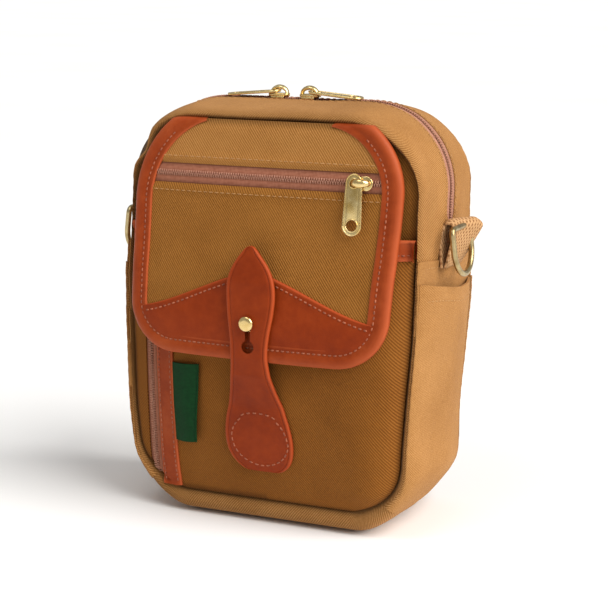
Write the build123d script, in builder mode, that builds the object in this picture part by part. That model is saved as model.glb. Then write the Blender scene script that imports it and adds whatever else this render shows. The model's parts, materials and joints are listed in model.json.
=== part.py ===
"""Canvas and leather binocular harness pack, built as separate sewn and fitted pieces.

Frame: +X to the right as seen from the front, +Y to the back, +Z up, millimetres.
The origin is the middle of the flat base. The front, with the flap, faces -Y.
"""

import os
from math import cos, radians, sin

from build123d import *

# Driving dimensions
body_half_w = 79.5
body_top = 205.0
body_half_d = 38.0
body_r_top = 41.0
body_r_base = 36.0
edge_roll = 6.0
wall = 3.5

seam_half_w = 73.0
seam_base = 9.0
seam_top = 197.0
seam_r_top = 36.0
seam_r_base = 30.0
panel_face = 37.0
panel_inner = 33.8

split_z = 148.0
split_gap = 0.3
zip_half_gap = 4.2
tape_half_gap = 0.8
tape_depth = 0.6
tape_thick = 1.8

pocket_half_w = 72.5
pocket_crown = 50.0
pocket_edge = 37.2
pocket_base = 12.0
pocket_mouth = 146.0
pocket_mouth_depth = 43.2
pocket_wall = 1.8
pocket_binding_drop = 9.0

flap_half_w = 67.5
flap_top = 193.0
flap_base = 86.0
flap_r_top = 32.0
flap_r_base = 25.0
flap_edge = 44.0
flap_crown = 52.6
flap_top_depth = 38.4
flap_straight_z = 139.5
flap_straight_depth = 46.0
backing_thick = 0.8
canvas_thick = 1.2
leather_thick = 1.2
binding_width = 7.0
binding_gap_half_w = 40.0
binding_gap_base = 163.0
flap_zip_z = 171.5
flap_zip_half = 4.5
flap_hinge_y = -41.2

strap_thick = 2.2
strap_bend_z = 62.0
stud_z = 105.0

pad_half_w = 18.0
puller_tilt = 3.0

side_y = -6.0

os.makedirs("parts", exist_ok=True)


def slab(half_w, base, top, r_base, r_top, y_front, y_back):
    """A rounded rectangle standing in XZ, with its own base and top radii, between two Y planes."""
    with BuildPart() as made:
        with BuildSketch(Plane.XZ.offset(-y_back)):
            with BuildLine():
                Line((-half_w, base + r_base), (-half_w, top - r_top))
                RadiusArc((-half_w, top - r_top), (-half_w + r_top, top), r_top)
                Line((-half_w + r_top, top), (half_w - r_top, top))
                RadiusArc((half_w - r_top, top), (half_w, top - r_top), r_top)
                Line((half_w, top - r_top), (half_w, base + r_base))
                RadiusArc((half_w, base + r_base), (half_w - r_base, base), r_base)
                Line((half_w - r_base, base), (-half_w + r_base, base))
                RadiusArc((-half_w + r_base, base), (-half_w, base + r_base), r_base)
            make_face()
        extrude(amount=y_back - y_front)
    return made.part


def inset_slab(inset, half_d):
    """The body's outline moved inwards all round, between -half_d and half_d."""
    return slab(
        body_half_w - inset,
        inset,
        body_top - inset,
        body_r_base - inset,
        body_r_top - inset,
        -half_d,
        half_d,
    )


def seam_slab(y_front, y_back):
    """The panel outline that the body's seams follow."""
    return slab(seam_half_w, seam_base, seam_top, seam_r_base, seam_r_top, y_front, y_back)


def block(x0, x1, y0, y1, z0, z1):
    """A box from corner to corner."""
    with BuildPart(Plane((x0, y0, z0))) as made:
        Box(x1 - x0, y1 - y0, z1 - z0, align=(Align.MIN, Align.MIN, Align.MIN))
    return made.part


def bulge(half_w, edge, crown, profile, straight_top, grow=0.0):
    """What lies behind a surface that crowns across X and follows a side profile of (depth, z).

    The profile is a curve through its points, then a straight line to straight_top.
    """
    low = profile[0][1]
    top_depth, high = straight_top
    with BuildPart() as made:
        with BuildSketch(Plane.XY.offset(low)):
            with BuildLine():
                ThreePointArc((-half_w, -edge - grow), (0, -crown - grow), (half_w, -edge - grow))
                Polyline((half_w, -edge - grow), (half_w, 0), (-half_w, 0), (-half_w, -edge - grow))
            make_face()
        extrude(amount=high - low)
        with BuildSketch(Plane.YZ.offset(-half_w)):
            with BuildLine():
                Spline(*[(-depth - grow, z) for depth, z in profile])
                Polyline(
                    (-profile[-1][0] - grow, profile[-1][1]),
                    (-top_depth - grow, high),
                    (0, high),
                    (0, low),
                    (-profile[0][0] - grow, low),
                )
            make_face()
        extrude(amount=2 * half_w, mode=Mode.INTERSECT)
    return made.part


# ---------------------------------------------------------------- padded body

body_block = inset_slab(0, body_half_d)
cavity = inset_slab(wall, panel_inner)
panel_hole = seam_slab(-body_half_d - 1, body_half_d + 1)
above = 2 * body_top
wide = 2 * body_half_w

with BuildPart() as body_ring:
    add(body_block)
    fillet(body_ring.faces().filter_by(Plane.XZ).edges(), radius=edge_roll)
    add(cavity, mode=Mode.SUBTRACT)
    add(panel_hole, mode=Mode.SUBTRACT)

with BuildPart() as lower_gusset:
    add(body_ring.part)
    add(block(-wide, wide, -wide, wide, split_z, above), mode=Mode.SUBTRACT)
lower_gusset.part.label = "lower_gusset"
export_step(lower_gusset.part, "parts/lower_gusset.step")

with BuildPart() as gusset_front_arch:
    add(body_ring.part)
    add(block(-wide, wide, -wide, -zip_half_gap, split_z, above), mode=Mode.INTERSECT)
gusset_front_arch.part.label = "gusset_front_arch"
export_step(gusset_front_arch.part, "parts/gusset_front_arch.step")

with BuildPart() as gusset_rear_arch:
    add(body_ring.part)
    add(block(-wide, wide, zip_half_gap, wide, split_z + split_gap, above), mode=Mode.INTERSECT)
gusset_rear_arch.part.label = "gusset_rear_arch"
export_step(gusset_rear_arch.part, "parts/gusset_rear_arch.step")

with BuildPart() as front_panel:
    add(seam_slab(-panel_face, -panel_inner))
front_panel.part.label = "front_panel"
export_step(front_panel.part, "parts/front_panel.step")

with BuildPart() as back_panel_lower:
    add(seam_slab(panel_inner, panel_face))
    add(block(-wide, wide, 0, wide, split_z, above), mode=Mode.SUBTRACT)
back_panel_lower.part.label = "back_panel_lower"
export_step(back_panel_lower.part, "parts/back_panel_lower.step")

with BuildPart() as back_panel_upper:
    add(seam_slab(panel_inner, panel_face))
    add(block(-wide, wide, 0, wide, split_z + split_gap, above), mode=Mode.INTERSECT)
back_panel_upper.part.label = "back_panel_upper"
export_step(back_panel_upper.part, "parts/back_panel_upper.step")

# ---------------------------------------------------------------- lining and base board

lining_thick = 0.8
lining_inner = inset_slab(wall + lining_thick, panel_inner - lining_thick)
zip_slot = block(-wide, wide, -zip_half_gap, zip_half_gap, split_z, above)
rear_top = block(-wide, wide, 0, wide, split_z, above)

with BuildPart() as lining_body:
    add(cavity)
    add(lining_inner, mode=Mode.SUBTRACT)
    add(zip_slot, mode=Mode.SUBTRACT)
    add(rear_top, mode=Mode.SUBTRACT)
lining_body.part.label = "lining_body"
export_step(lining_body.part, "parts/lining_body.step")

with BuildPart() as lining_rear:
    add(cavity)
    add(lining_inner, mode=Mode.SUBTRACT)
    add(
        block(-wide, wide, zip_half_gap, wide, split_z + split_gap, above),
        mode=Mode.INTERSECT,
    )
lining_rear.part.label = "lining_rear"
export_step(lining_rear.part, "parts/lining_rear.step")

board_half_w = 42.0
board_half_d = 31.0
board_thick = 2.0
with BuildPart() as base_board:
    with BuildSketch(Plane.XY.offset(wall + lining_thick)):
        RectangleRounded(2 * board_half_w, 2 * board_half_d, 6)
    extrude(amount=board_thick)
base_board.part.label = "base_board"
export_step(base_board.part, "parts/base_board.step")

# ---------------------------------------------------------------- main zip

tape_outer = inset_slab(tape_depth, zip_half_gap)
tape_inner = inset_slab(tape_depth + tape_thick, zip_half_gap + 1)

with BuildPart() as main_zip_front_tape:
    add(tape_outer)
    add(tape_inner, mode=Mode.SUBTRACT)
    add(block(-wide, wide, -wide, -tape_half_gap, split_z, above), mode=Mode.INTERSECT)
main_zip_front_tape.part.label = "main_zip_front_tape"
export_step(main_zip_front_tape.part, "parts/main_zip_front_tape.step")

with BuildPart() as main_zip_rear_tape:
    add(tape_outer)
    add(tape_inner, mode=Mode.SUBTRACT)
    add(
        block(-wide, wide, tape_half_gap, wide, split_z + split_gap, above),
        mode=Mode.INTERSECT,
    )
main_zip_rear_tape.part.label = "main_zip_rear_tape"
export_step(main_zip_rear_tape.part, "parts/main_zip_rear_tape.step")

# ---------------------------------------------------------------- zip sliders and pullers

slider_length = 10.4
slider_width = 7.4
slider_plate = 1.4
slider_under = 1.0
slider_lift = 0.25
leg_x = 2.9
leg_thick = 1.4
leg_width = 1.6
arch_clear = 1.9
arch_thick = 0.9
eye_hole_r = 2.2
eye_rim = 1.4
puller_thick = 1.0
puller_width = 8.8
puller_end_r = 4.2
puller_neck = 3.0
puller_length = 24.0
puller_hole_r = 2.7
puller_hole_x = 19.6

# How high the middle of a puller's eye sits over the zip's face, and how far from the slider's
# middle it is when its rim lies under the arch.
eye_height = slider_lift + slider_plate + arch_clear / 2
rim_x = 0.9
eye_reach = eye_hole_r + eye_rim / 2


def zip_slider(plane, tape, has_under_plate=True):
    """A slider on a zip's outer face: local X runs along the zip, local Z points out of it.

    tape is how thick the tape is between the slider's two plates.
    """
    top = slider_lift + slider_plate
    with BuildPart(plane) as made:
        with BuildSketch(plane.offset(slider_lift)):
            RectangleRounded(slider_length, slider_width, 2.4)
        extrude(amount=slider_plate)
        if has_under_plate:
            with BuildSketch(plane.offset(-tape - slider_lift)):
                RectangleRounded(slider_length - 1.0, slider_width - 1.4, 2.0)
            extrude(amount=-slider_under)
            with BuildSketch(plane.offset(-tape - slider_lift)):
                RectangleRounded(4.6, 2 * tape_half_gap - 0.5, 0.5)
            extrude(amount=tape + 2 * slider_lift)
        with Locations((-leg_x, 0, top), (leg_x, 0, top)):
            Box(
                leg_thick,
                leg_width,
                arch_clear + arch_thick,
                align=(Align.CENTER, Align.CENTER, Align.MIN),
            )
        with Locations((0, 0, top + arch_clear)):
            Box(2 * leg_x, leg_width, arch_thick, align=(Align.CENTER, Align.CENTER, Align.MIN))
    return made


def zip_puller(plane):
    """A flat pull tab: local origin in the middle of its eye, local X towards its handle."""
    with BuildPart(plane) as made:
        with BuildSketch(plane.offset(-puller_thick / 2)):
            Circle(eye_hole_r + eye_rim)
            with Locations(((puller_length + puller_neck) / 2, 0)):
                RectangleRounded(puller_length - puller_neck, puller_width, puller_end_r)
            Circle(eye_hole_r, mode=Mode.SUBTRACT)
            with Locations((puller_hole_x, 0)):
                Circle(puller_hole_r, mode=Mode.SUBTRACT)
        extrude(amount=puller_thick)
    return made


def lying_puller_plane(face, outward):
    """Where a puller lies down over its slider: outward is +1 or -1 along the slider's local X."""
    dip = radians(puller_tilt)
    along = face.x_dir * outward
    middle = (
        face.origin
        + along * (rim_x + eye_reach * cos(dip))
        + face.z_dir * (eye_height - eye_reach * sin(dip))
    )
    return Plane(
        middle,
        x_dir=along * cos(dip) - face.z_dir * sin(dip),
        z_dir=along * sin(dip) + face.z_dir * cos(dip),
    )


def hanging_puller_plane(face, direction):
    """Where a puller hangs about the slider's leg on its local -X side, pointing along direction."""
    middle = face.origin - face.x_dir * leg_x + face.z_dir * eye_height
    return Plane(middle, x_dir=direction, z_dir=face.z_dir)


main_slider_x = {"left": -10.5, "right": 5.5}
for side, outward in (("left", -1), ("right", 1)):
    zip_face = Plane((main_slider_x[side], 0, body_top - tape_depth))
    main_slider = zip_slider(zip_face, tape_thick)
    main_slider.part.label = f"main_slider_{side}"
    export_step(main_slider.part, f"parts/main_slider_{side}.step")

    main_puller = zip_puller(lying_puller_plane(zip_face, outward))
    main_puller.part.label = f"main_puller_{side}"
    export_step(main_puller.part, f"parts/main_puller_{side}.step")

# ---------------------------------------------------------------- front pocket

pocket_profile = [
    (37.4, pocket_base),
    (41.5, 22.0),
    (45.5, 38.0),
    (48.6, 60.0),
    (50.0, 85.0),
    (49.4, 105.0),
    (47.2, 124.0),
]


def pocket_bulge(grow):
    """What lies behind the pocket's outer face, moved outwards by grow."""
    return bulge(
        pocket_half_w,
        pocket_edge,
        pocket_crown,
        pocket_profile,
        (pocket_mouth_depth, pocket_mouth),
        grow,
    )


pocket_outer = pocket_bulge(0)
pocket_skin = pocket_bulge(leather_thick)
pocket_outline = slab(
    pocket_half_w,
    pocket_base,
    pocket_mouth,
    seam_r_base - 2,
    0.5,
    -body_half_w,
    -panel_face,
)
pocket_zip_x = -61.5
pocket_zip_half = 3.8
pocket_zip_z = (20.0, 134.0)
zip_window = block(
    pocket_zip_x - pocket_zip_half,
    pocket_zip_x + pocket_zip_half,
    -body_half_w,
    0,
    *pocket_zip_z,
)

with BuildPart() as front_pocket_panel:
    add(pocket_outer)
    add(pocket_bulge(-pocket_wall), mode=Mode.SUBTRACT)
    add(pocket_outline, mode=Mode.INTERSECT)
    add(zip_window, mode=Mode.SUBTRACT)
front_pocket_panel.part.label = "front_pocket_panel"
export_step(front_pocket_panel.part, "parts/front_pocket_panel.step")

pocket_tape_sink = 0.4
pocket_tape_thick = 1.1
with BuildPart() as pocket_zip_tape:
    add(pocket_bulge(-pocket_tape_sink))
    add(pocket_bulge(-pocket_tape_sink - pocket_tape_thick), mode=Mode.SUBTRACT)
    add(zip_window, mode=Mode.INTERSECT)
    add(
        block(
            pocket_zip_x - tape_half_gap,
            pocket_zip_x + tape_half_gap,
            -body_half_w,
            0,
            pocket_zip_z[0] + 3,
            pocket_zip_z[1] - 1,
        ),
        mode=Mode.SUBTRACT,
    )
pocket_zip_tape.part.label = "pocket_zip_tape"
export_step(pocket_zip_tape.part, "parts/pocket_zip_tape.step")

mouth_binding_z = (pocket_mouth - pocket_binding_drop, pocket_mouth)
facing_x = (-56.6, -47.8)
facing_z = (14.0, mouth_binding_z[0])
with BuildPart() as pocket_zip_facing:
    add(pocket_skin)
    add(pocket_outer, mode=Mode.SUBTRACT)
    add(block(*facing_x, -body_half_w, -panel_face, *facing_z), mode=Mode.INTERSECT)
pocket_zip_facing.part.label = "pocket_zip_facing"
export_step(pocket_zip_facing.part, "parts/pocket_zip_facing.step")

with BuildPart() as pocket_mouth_binding:
    add(pocket_skin)
    add(pocket_outer, mode=Mode.SUBTRACT)
    add(
        block(-pocket_half_w, pocket_half_w, -body_half_w, -panel_face, *mouth_binding_z),
        mode=Mode.INTERSECT,
    )
pocket_mouth_binding.part.label = "pocket_mouth_binding"
export_step(pocket_mouth_binding.part, "parts/pocket_mouth_binding.step")


# The pocket's face is an arc across X: its radius, and its depth and slope at the zip.
pocket_rise = pocket_crown - pocket_edge
pocket_arc_r = (pocket_half_w**2 + pocket_rise**2) / (2 * pocket_rise)
pocket_arc_y = (pocket_arc_r**2 - pocket_zip_x**2) ** 0.5
pocket_zip_depth = pocket_arc_y - pocket_arc_r + pocket_crown

pocket_slider_z = 126.0
pocket_zip_face = Plane(
    (pocket_zip_x, 0.05 + pocket_tape_sink - pocket_zip_depth, pocket_slider_z),
    x_dir=(0, 0, 1),
    z_dir=(pocket_zip_x, -pocket_arc_y, 0),
)
pocket_zip_slider = zip_slider(pocket_zip_face, pocket_tape_thick)
pocket_zip_slider.part.label = "pocket_zip_slider"
export_step(pocket_zip_slider.part, "parts/pocket_zip_slider.step")

pocket_zip_puller = zip_puller(hanging_puller_plane(pocket_zip_face, -pocket_zip_face.x_dir))
pocket_zip_puller.part.label = "pocket_zip_puller"
export_step(pocket_zip_puller.part, "parts/pocket_zip_puller.step")

label_z = (39.0, 79.0)
label_x = (-47.4, -33.5)
label_gap = 0.4
label_thick = 1.6
with BuildPart() as side_label:
    add(pocket_bulge(label_gap + label_thick))
    add(pocket_bulge(label_gap), mode=Mode.SUBTRACT)
    add(block(*label_x, -body_half_w, -panel_face, *label_z), mode=Mode.INTERSECT)
side_label.part.label = "side_label"
export_step(side_label.part, "parts/side_label.step")

# ---------------------------------------------------------------- flap

flap_profile = [
    (53.0, flap_base - 2),
    (52.8, 104.0),
    (50.2, 124.0),
    (flap_straight_depth, flap_straight_z),
]


def flap_bulge(grow):
    """What lies behind the flap's back face, moved outwards by grow."""
    return bulge(
        flap_half_w + 1,
        flap_edge,
        flap_crown,
        flap_profile,
        (flap_top_depth, flap_top),
        grow,
    )


def flap_outline(inset=0.0):
    """The flap's outline, moved inwards by inset."""
    return slab(
        flap_half_w - inset,
        flap_base + inset,
        flap_top + 4 - inset,
        flap_r_base - inset,
        flap_r_top - inset,
        -body_half_w,
        0,
    )


backing_front = backing_thick
canvas_front = backing_front + canvas_thick
leather_front = canvas_front + leather_thick
below_hinge = block(-wide, wide, -wide, 0, 0, flap_top)
flap_zip_window = block(
    -flap_half_w + binding_width,
    flap_half_w - binding_width,
    -body_half_w,
    0,
    flap_zip_z - flap_zip_half,
    flap_zip_z + flap_zip_half,
)

with BuildPart() as flap_backing:
    add(flap_bulge(backing_front))
    add(flap_bulge(0), mode=Mode.SUBTRACT)
    add(flap_outline(), mode=Mode.INTERSECT)
    add(below_hinge, mode=Mode.INTERSECT)
flap_backing.part.label = "flap_backing"
export_step(flap_backing.part, "parts/flap_backing.step")

with BuildPart() as flap_canvas:
    add(flap_bulge(canvas_front))
    add(flap_bulge(backing_front), mode=Mode.SUBTRACT)
    add(flap_outline(), mode=Mode.INTERSECT)
    add(below_hinge, mode=Mode.INTERSECT)
    add(flap_zip_window, mode=Mode.SUBTRACT)
flap_canvas.part.label = "flap_canvas"
export_step(flap_canvas.part, "parts/flap_canvas.step")

flap_tape_front = 1.8
with BuildPart() as flap_zip_tape:
    add(flap_bulge(flap_tape_front))
    add(flap_bulge(backing_front), mode=Mode.SUBTRACT)
    add(flap_zip_window, mode=Mode.INTERSECT)
flap_zip_tape.part.label = "flap_zip_tape"
export_step(flap_zip_tape.part, "parts/flap_zip_tape.step")

with BuildPart() as flap_binding:
    add(flap_bulge(leather_front))
    add(flap_bulge(canvas_front), mode=Mode.SUBTRACT)
    add(flap_outline(), mode=Mode.INTERSECT)
    add(flap_outline(binding_width), mode=Mode.SUBTRACT)
    add(below_hinge, mode=Mode.INTERSECT)
    add(
        block(-binding_gap_half_w, binding_gap_half_w, -body_half_w, 0, binding_gap_base, above),
        mode=Mode.SUBTRACT,
    )
flap_binding.part.label = "flap_binding"
export_step(flap_binding.part, "parts/flap_binding.step")

peak_z = 128.0
slope_x = 30.0
slope_z = 118.5
shoulder_z = 109.0
skirt_z = 80.0
edge_lean = (1, 0.1)
with BuildPart() as flap_reinforcement:
    with BuildSketch(Plane.XZ.offset(flap_edge - 6)):
        with BuildLine():
            left_edge = [(-flap_half_w, shoulder_z), (-slope_x, slope_z), (0, peak_z)]
            Spline(*left_edge, tangents=(edge_lean, (1, 0)))
            right_edge = [(-x, z) for x, z in reversed(left_edge)]
            Spline(*right_edge, tangents=((1, 0), (edge_lean[0], -edge_lean[1])))
            Polyline(
                (flap_half_w, shoulder_z),
                (flap_half_w, skirt_z),
                (-flap_half_w, skirt_z),
                (-flap_half_w, shoulder_z),
            )
        make_face()
    extrude(amount=30)
    add(flap_bulge(leather_front), mode=Mode.INTERSECT)
    add(flap_bulge(canvas_front), mode=Mode.SUBTRACT)
    add(flap_outline(binding_width), mode=Mode.INTERSECT)
flap_reinforcement.part.label = "flap_reinforcement"
export_step(flap_reinforcement.part, "parts/flap_reinforcement.step")

root_seam_half_w = 42.0
root_seam_gap = 0.4
root_seam_rise = 2.6
with BuildPart() as flap_root_seam:
    add(
        block(
            -root_seam_half_w,
            root_seam_half_w,
            flap_hinge_y + root_seam_gap,
            -panel_face,
            flap_top + root_seam_gap,
            flap_top + root_seam_rise,
        )
    )
flap_root_seam.part.label = "flap_root_seam"
export_step(flap_root_seam.part, "parts/flap_root_seam.step")

# The flap's upper part slopes outwards on its way down, and the zip's slider leans with it.
flap_slope = (flap_straight_depth - flap_top_depth) / (flap_top - flap_straight_z)
flap_zip_depth = flap_top_depth + flap_slope * (flap_top - flap_zip_z) + flap_tape_front
flap_slider_x = 51.0
flap_zip_face = Plane(
    (flap_slider_x, -flap_zip_depth - 0.1, flap_zip_z),
    x_dir=(1, 0, 0),
    z_dir=(0, -1, flap_slope),
)
flap_zip_slider = zip_slider(flap_zip_face, flap_tape_front, has_under_plate=False)
flap_zip_slider.part.label = "flap_zip_slider"
export_step(flap_zip_slider.part, "parts/flap_zip_slider.step")

flap_zip_puller = zip_puller(hanging_puller_plane(flap_zip_face, -flap_zip_face.y_dir))
flap_zip_puller.part.label = "flap_zip_puller"
export_step(flap_zip_puller.part, "parts/flap_zip_puller.step")

# ---------------------------------------------------------------- stud and closure strap

stud_face = flap_crown + leather_front
stud_plate_r = 4.5
stud_plate_thick = 0.7
stud_post_r = 1.5
stud_head_r = 3.7
stud_head_face = 62.0
stud_head_round = 1.2
strap_inner_at_stud = 56.9
stud_head_back = strap_inner_at_stud + strap_thick + 0.4
with BuildPart() as stud_base:
    with BuildSketch(Plane.XZ.offset(stud_face)):
        with Locations((0, stud_z)):
            Circle(stud_plate_r)
    extrude(amount=stud_plate_thick)
    with BuildSketch(Plane.XZ.offset(stud_face + stud_plate_thick)):
        with Locations((0, stud_z)):
            Circle(stud_post_r)
    extrude(amount=stud_head_back - stud_face - stud_plate_thick)
stud_base.part.label = "stud_base"
export_step(stud_base.part, "parts/stud_base.step")

with BuildPart() as stud_head:
    with BuildSketch(Plane.XZ.offset(stud_head_back)):
        with Locations((0, stud_z)):
            Circle(stud_head_r)
    extrude(amount=stud_head_face - stud_head_back)
    fillet(stud_head.faces().sort_by(Axis.Y)[0].edges(), radius=stud_head_round)
stud_head.part.label = "stud_head"
export_step(stud_head.part, "parts/stud_head.step")

pad_middle_z = 46.0
pad_neck_w = 26.0
pad_flat_z = pad_middle_z - pad_half_w + 2
with BuildPart() as closure_strap_pad:
    with BuildSketch(Plane.XZ.offset(panel_face)):
        with Locations((0, pad_middle_z)):
            Circle(pad_half_w)
        with Locations((0, strap_bend_z - 6)):
            Rectangle(pad_neck_w, 12)
    extrude(amount=30)
    add(block(-wide, wide, -wide, 0, pad_flat_z, strap_bend_z), mode=Mode.INTERSECT)
    add(pocket_bulge(strap_thick), mode=Mode.INTERSECT)
    add(pocket_outer, mode=Mode.SUBTRACT)
closure_strap_pad.part.label = "closure_strap_pad"
export_step(closure_strap_pad.part, "parts/closure_strap_pad.step")

# Side line of the strap's back face as (depth, z), from the bend up to the tip.
strap_line = [
    (49.0, strap_bend_z + split_gap),
    (51.8, 70.0),
    (55.2, 79.0),
    (56.7, 88.0),
    (strap_inner_at_stud, stud_z),
    (56.0, 124.0),
    (53.6, 141.0),
]
strap_tip_z = 141.0
# Its right edge as (half width, z), from the bend up to the tip.
strap_side = [
    (13.2, strap_bend_z),
    (8.2, 84.0),
    (8.4, 98.0),
    (11.2, 118.0),
    (5.8, 134.0),
    (0, strap_tip_z),
]
keyhole_drop = 11.4
keyhole_r = 3.4
slot_half_w = 1.9
with BuildPart() as closure_strap:
    with BuildSketch(Plane.YZ.offset(-20)):
        with BuildLine():
            Spline(*[(-depth, z) for depth, z in strap_line])
            Line((-strap_line[-1][0], strap_tip_z), (-strap_line[-1][0] - strap_thick, strap_tip_z))
            Spline(*[(-depth - strap_thick, z) for depth, z in reversed(strap_line)])
            Line(
                (-strap_line[0][0] - strap_thick, strap_line[0][1]),
                (-strap_line[0][0], strap_line[0][1]),
            )
        make_face()
    extrude(amount=40)
    with BuildSketch(Plane.XZ.offset(30)):
        with BuildLine():
            Spline(*strap_side)
            Spline(*[(-x, z) for x, z in reversed(strap_side)])
            Line((-strap_side[0][0], strap_bend_z), strap_side[0])
        make_face()
    extrude(amount=50, mode=Mode.INTERSECT)
    with BuildSketch(Plane.XZ.offset(30)):
        with Locations((0, stud_z - keyhole_drop)):
            Circle(keyhole_r)
        with Locations((0, stud_z)):
            Circle(slot_half_w)
        with Locations((0, stud_z - keyhole_drop / 2)):
            Rectangle(2 * slot_half_w, keyhole_drop)
    extrude(amount=50, mode=Mode.SUBTRACT)
closure_strap.part.label = "closure_strap"
export_step(closure_strap.part, "parts/closure_strap.step")

# ---------------------------------------------------------------- side pockets, webbing loops and rings

side_pocket_top = 123.0
side_pocket_floor = 50.0
side_pocket_r_base = 48.0
side_pocket_root_x = 50.0
side_pocket_half_d = 33.0
side_pocket_crown = 86.0
side_pocket_wall = 1.3
loop_half_w = 10.2
loop_base = 130.0
loop_fold_r = 3.4
loop_sewn_x = body_half_w + 0.1
web_thick = 1.3
bar_x = 85.6
bar_z = 148.6
ring_wire_r = 1.4
ring_half_w = 12.2
ring_leg = 10.0
ring_lean = 7.0
ring_corner_r = 2.6
loop_web_x = loop_sewn_x + 2.6 * web_thick
loop_inner_z = (135.0, 143.5)
loop_outer_z = 144.0

side_pocket_outline = slab(
    side_pocket_crown,
    0.5,
    body_top,
    side_pocket_r_base,
    body_r_top,
    -body_half_d,
    body_half_d,
)

for side, sign in (("left", -1), ("right", 1)):
    face_x = sign * body_half_w
    crown_x = sign * side_pocket_crown
    inner_crown_x = sign * (side_pocket_crown - side_pocket_wall)
    inner_half_d = side_pocket_half_d - 3
    with BuildPart() as side_pocket:
        with BuildSketch():
            with BuildLine():
                ThreePointArc((face_x, -side_pocket_half_d), (crown_x, 0), (face_x, side_pocket_half_d))
                Polyline(
                    (face_x, side_pocket_half_d),
                    (sign * side_pocket_root_x, side_pocket_half_d),
                    (sign * side_pocket_root_x, -side_pocket_half_d),
                    (face_x, -side_pocket_half_d),
                )
            make_face()
        extrude(amount=side_pocket_top)
        with BuildSketch(Plane.XY.offset(side_pocket_floor)):
            with BuildLine():
                ThreePointArc((face_x, -inner_half_d), (inner_crown_x, 0), (face_x, inner_half_d))
                Line((face_x, inner_half_d), (face_x, -inner_half_d))
            make_face()
        extrude(amount=side_pocket_top, mode=Mode.SUBTRACT)
        add(side_pocket_outline, mode=Mode.INTERSECT)
        add(body_block, mode=Mode.SUBTRACT)
    side_pocket.part.label = f"side_pocket_{side}"
    export_step(side_pocket.part, f"parts/side_pocket_{side}.step")

    # The loop's band is what lies between its outer outline and the space inside its fold.
    foot_x = sign * (loop_sewn_x + web_thick)
    with BuildPart() as webbing_loop:
        with BuildSketch(Plane.XZ.offset(-side_y - loop_half_w)):
            with BuildLine():
                Polyline(
                    (sign * (bar_x - loop_fold_r), bar_z),
                    (sign * loop_sewn_x, loop_outer_z),
                    (sign * loop_sewn_x, loop_base),
                    (sign * loop_web_x, loop_base),
                    (sign * (bar_x + loop_fold_r), bar_z),
                )
                ThreePointArc(
                    (sign * (bar_x + loop_fold_r), bar_z),
                    (sign * bar_x, bar_z + loop_fold_r),
                    (sign * (bar_x - loop_fold_r), bar_z),
                )
            make_face()
            with BuildLine():
                thin_r = loop_fold_r - web_thick
                Polyline(
                    (sign * (bar_x - thin_r), bar_z),
                    (foot_x, loop_inner_z[1]),
                    (foot_x, loop_inner_z[0]),
                    (sign * (bar_x + thin_r), bar_z),
                )
                ThreePointArc(
                    (sign * (bar_x + thin_r), bar_z),
                    (sign * bar_x, bar_z + thin_r),
                    (sign * (bar_x - thin_r), bar_z),
                )
            make_face(mode=Mode.SUBTRACT)
        extrude(amount=2 * loop_half_w)
    webbing_loop.part.label = f"webbing_loop_{side}"
    export_step(webbing_loop.part, f"parts/webbing_loop_{side}.step")

    lean = radians(ring_lean)
    ring_plane = Plane(
        (sign * bar_x, side_y, bar_z),
        x_dir=(0, 1, 0),
        z_dir=(cos(lean), 0, sign * sin(lean)),
    )
    with BuildPart() as d_ring:
        with BuildLine(ring_plane) as ring_path:
            FilletPolyline(
                (-ring_half_w, -ring_leg),
                (-ring_half_w, 0),
                (ring_half_w, 0),
                (ring_half_w, -ring_leg),
                radius=ring_corner_r,
            )
            ThreePointArc(
                (ring_half_w, -ring_leg),
                (0, -ring_leg - ring_half_w),
                (-ring_half_w, -ring_leg),
            )
        ring_start = ring_path.line @ 0
        with BuildSketch(Plane(ring_start, z_dir=ring_path.line % 0)):
            Circle(ring_wire_r)
        sweep()
    d_ring.part.label = f"d_ring_{side}"
    export_step(d_ring.part, f"parts/d_ring_{side}.step")
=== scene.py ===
"""Blender scene of the binocular harness pack: its canvas, leather, zips and brass round the CAD frame."""
import json
import math

import bmesh
import bpy
import numpy as np
from mathutils import Matrix, Vector, noise
from mathutils.bvhtree import BVHTree


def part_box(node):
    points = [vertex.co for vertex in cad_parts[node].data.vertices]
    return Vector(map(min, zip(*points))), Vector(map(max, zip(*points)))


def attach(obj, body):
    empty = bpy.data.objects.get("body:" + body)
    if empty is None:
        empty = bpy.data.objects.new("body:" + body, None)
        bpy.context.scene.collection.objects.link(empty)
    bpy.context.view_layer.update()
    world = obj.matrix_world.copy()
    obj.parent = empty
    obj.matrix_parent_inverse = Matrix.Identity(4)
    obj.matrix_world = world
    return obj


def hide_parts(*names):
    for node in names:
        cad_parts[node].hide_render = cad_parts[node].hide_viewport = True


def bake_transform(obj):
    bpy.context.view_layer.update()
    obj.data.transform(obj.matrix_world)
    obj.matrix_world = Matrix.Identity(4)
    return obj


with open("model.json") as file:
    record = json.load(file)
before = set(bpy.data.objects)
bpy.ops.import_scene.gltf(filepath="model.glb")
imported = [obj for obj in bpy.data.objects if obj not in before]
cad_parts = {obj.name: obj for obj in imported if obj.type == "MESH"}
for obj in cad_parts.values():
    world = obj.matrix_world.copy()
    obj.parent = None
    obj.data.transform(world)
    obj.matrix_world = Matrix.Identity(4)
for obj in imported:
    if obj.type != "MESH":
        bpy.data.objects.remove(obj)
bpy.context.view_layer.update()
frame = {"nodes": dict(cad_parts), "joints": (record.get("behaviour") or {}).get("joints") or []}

# ---------------------------------------------------------------- sizes, from the frame

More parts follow.
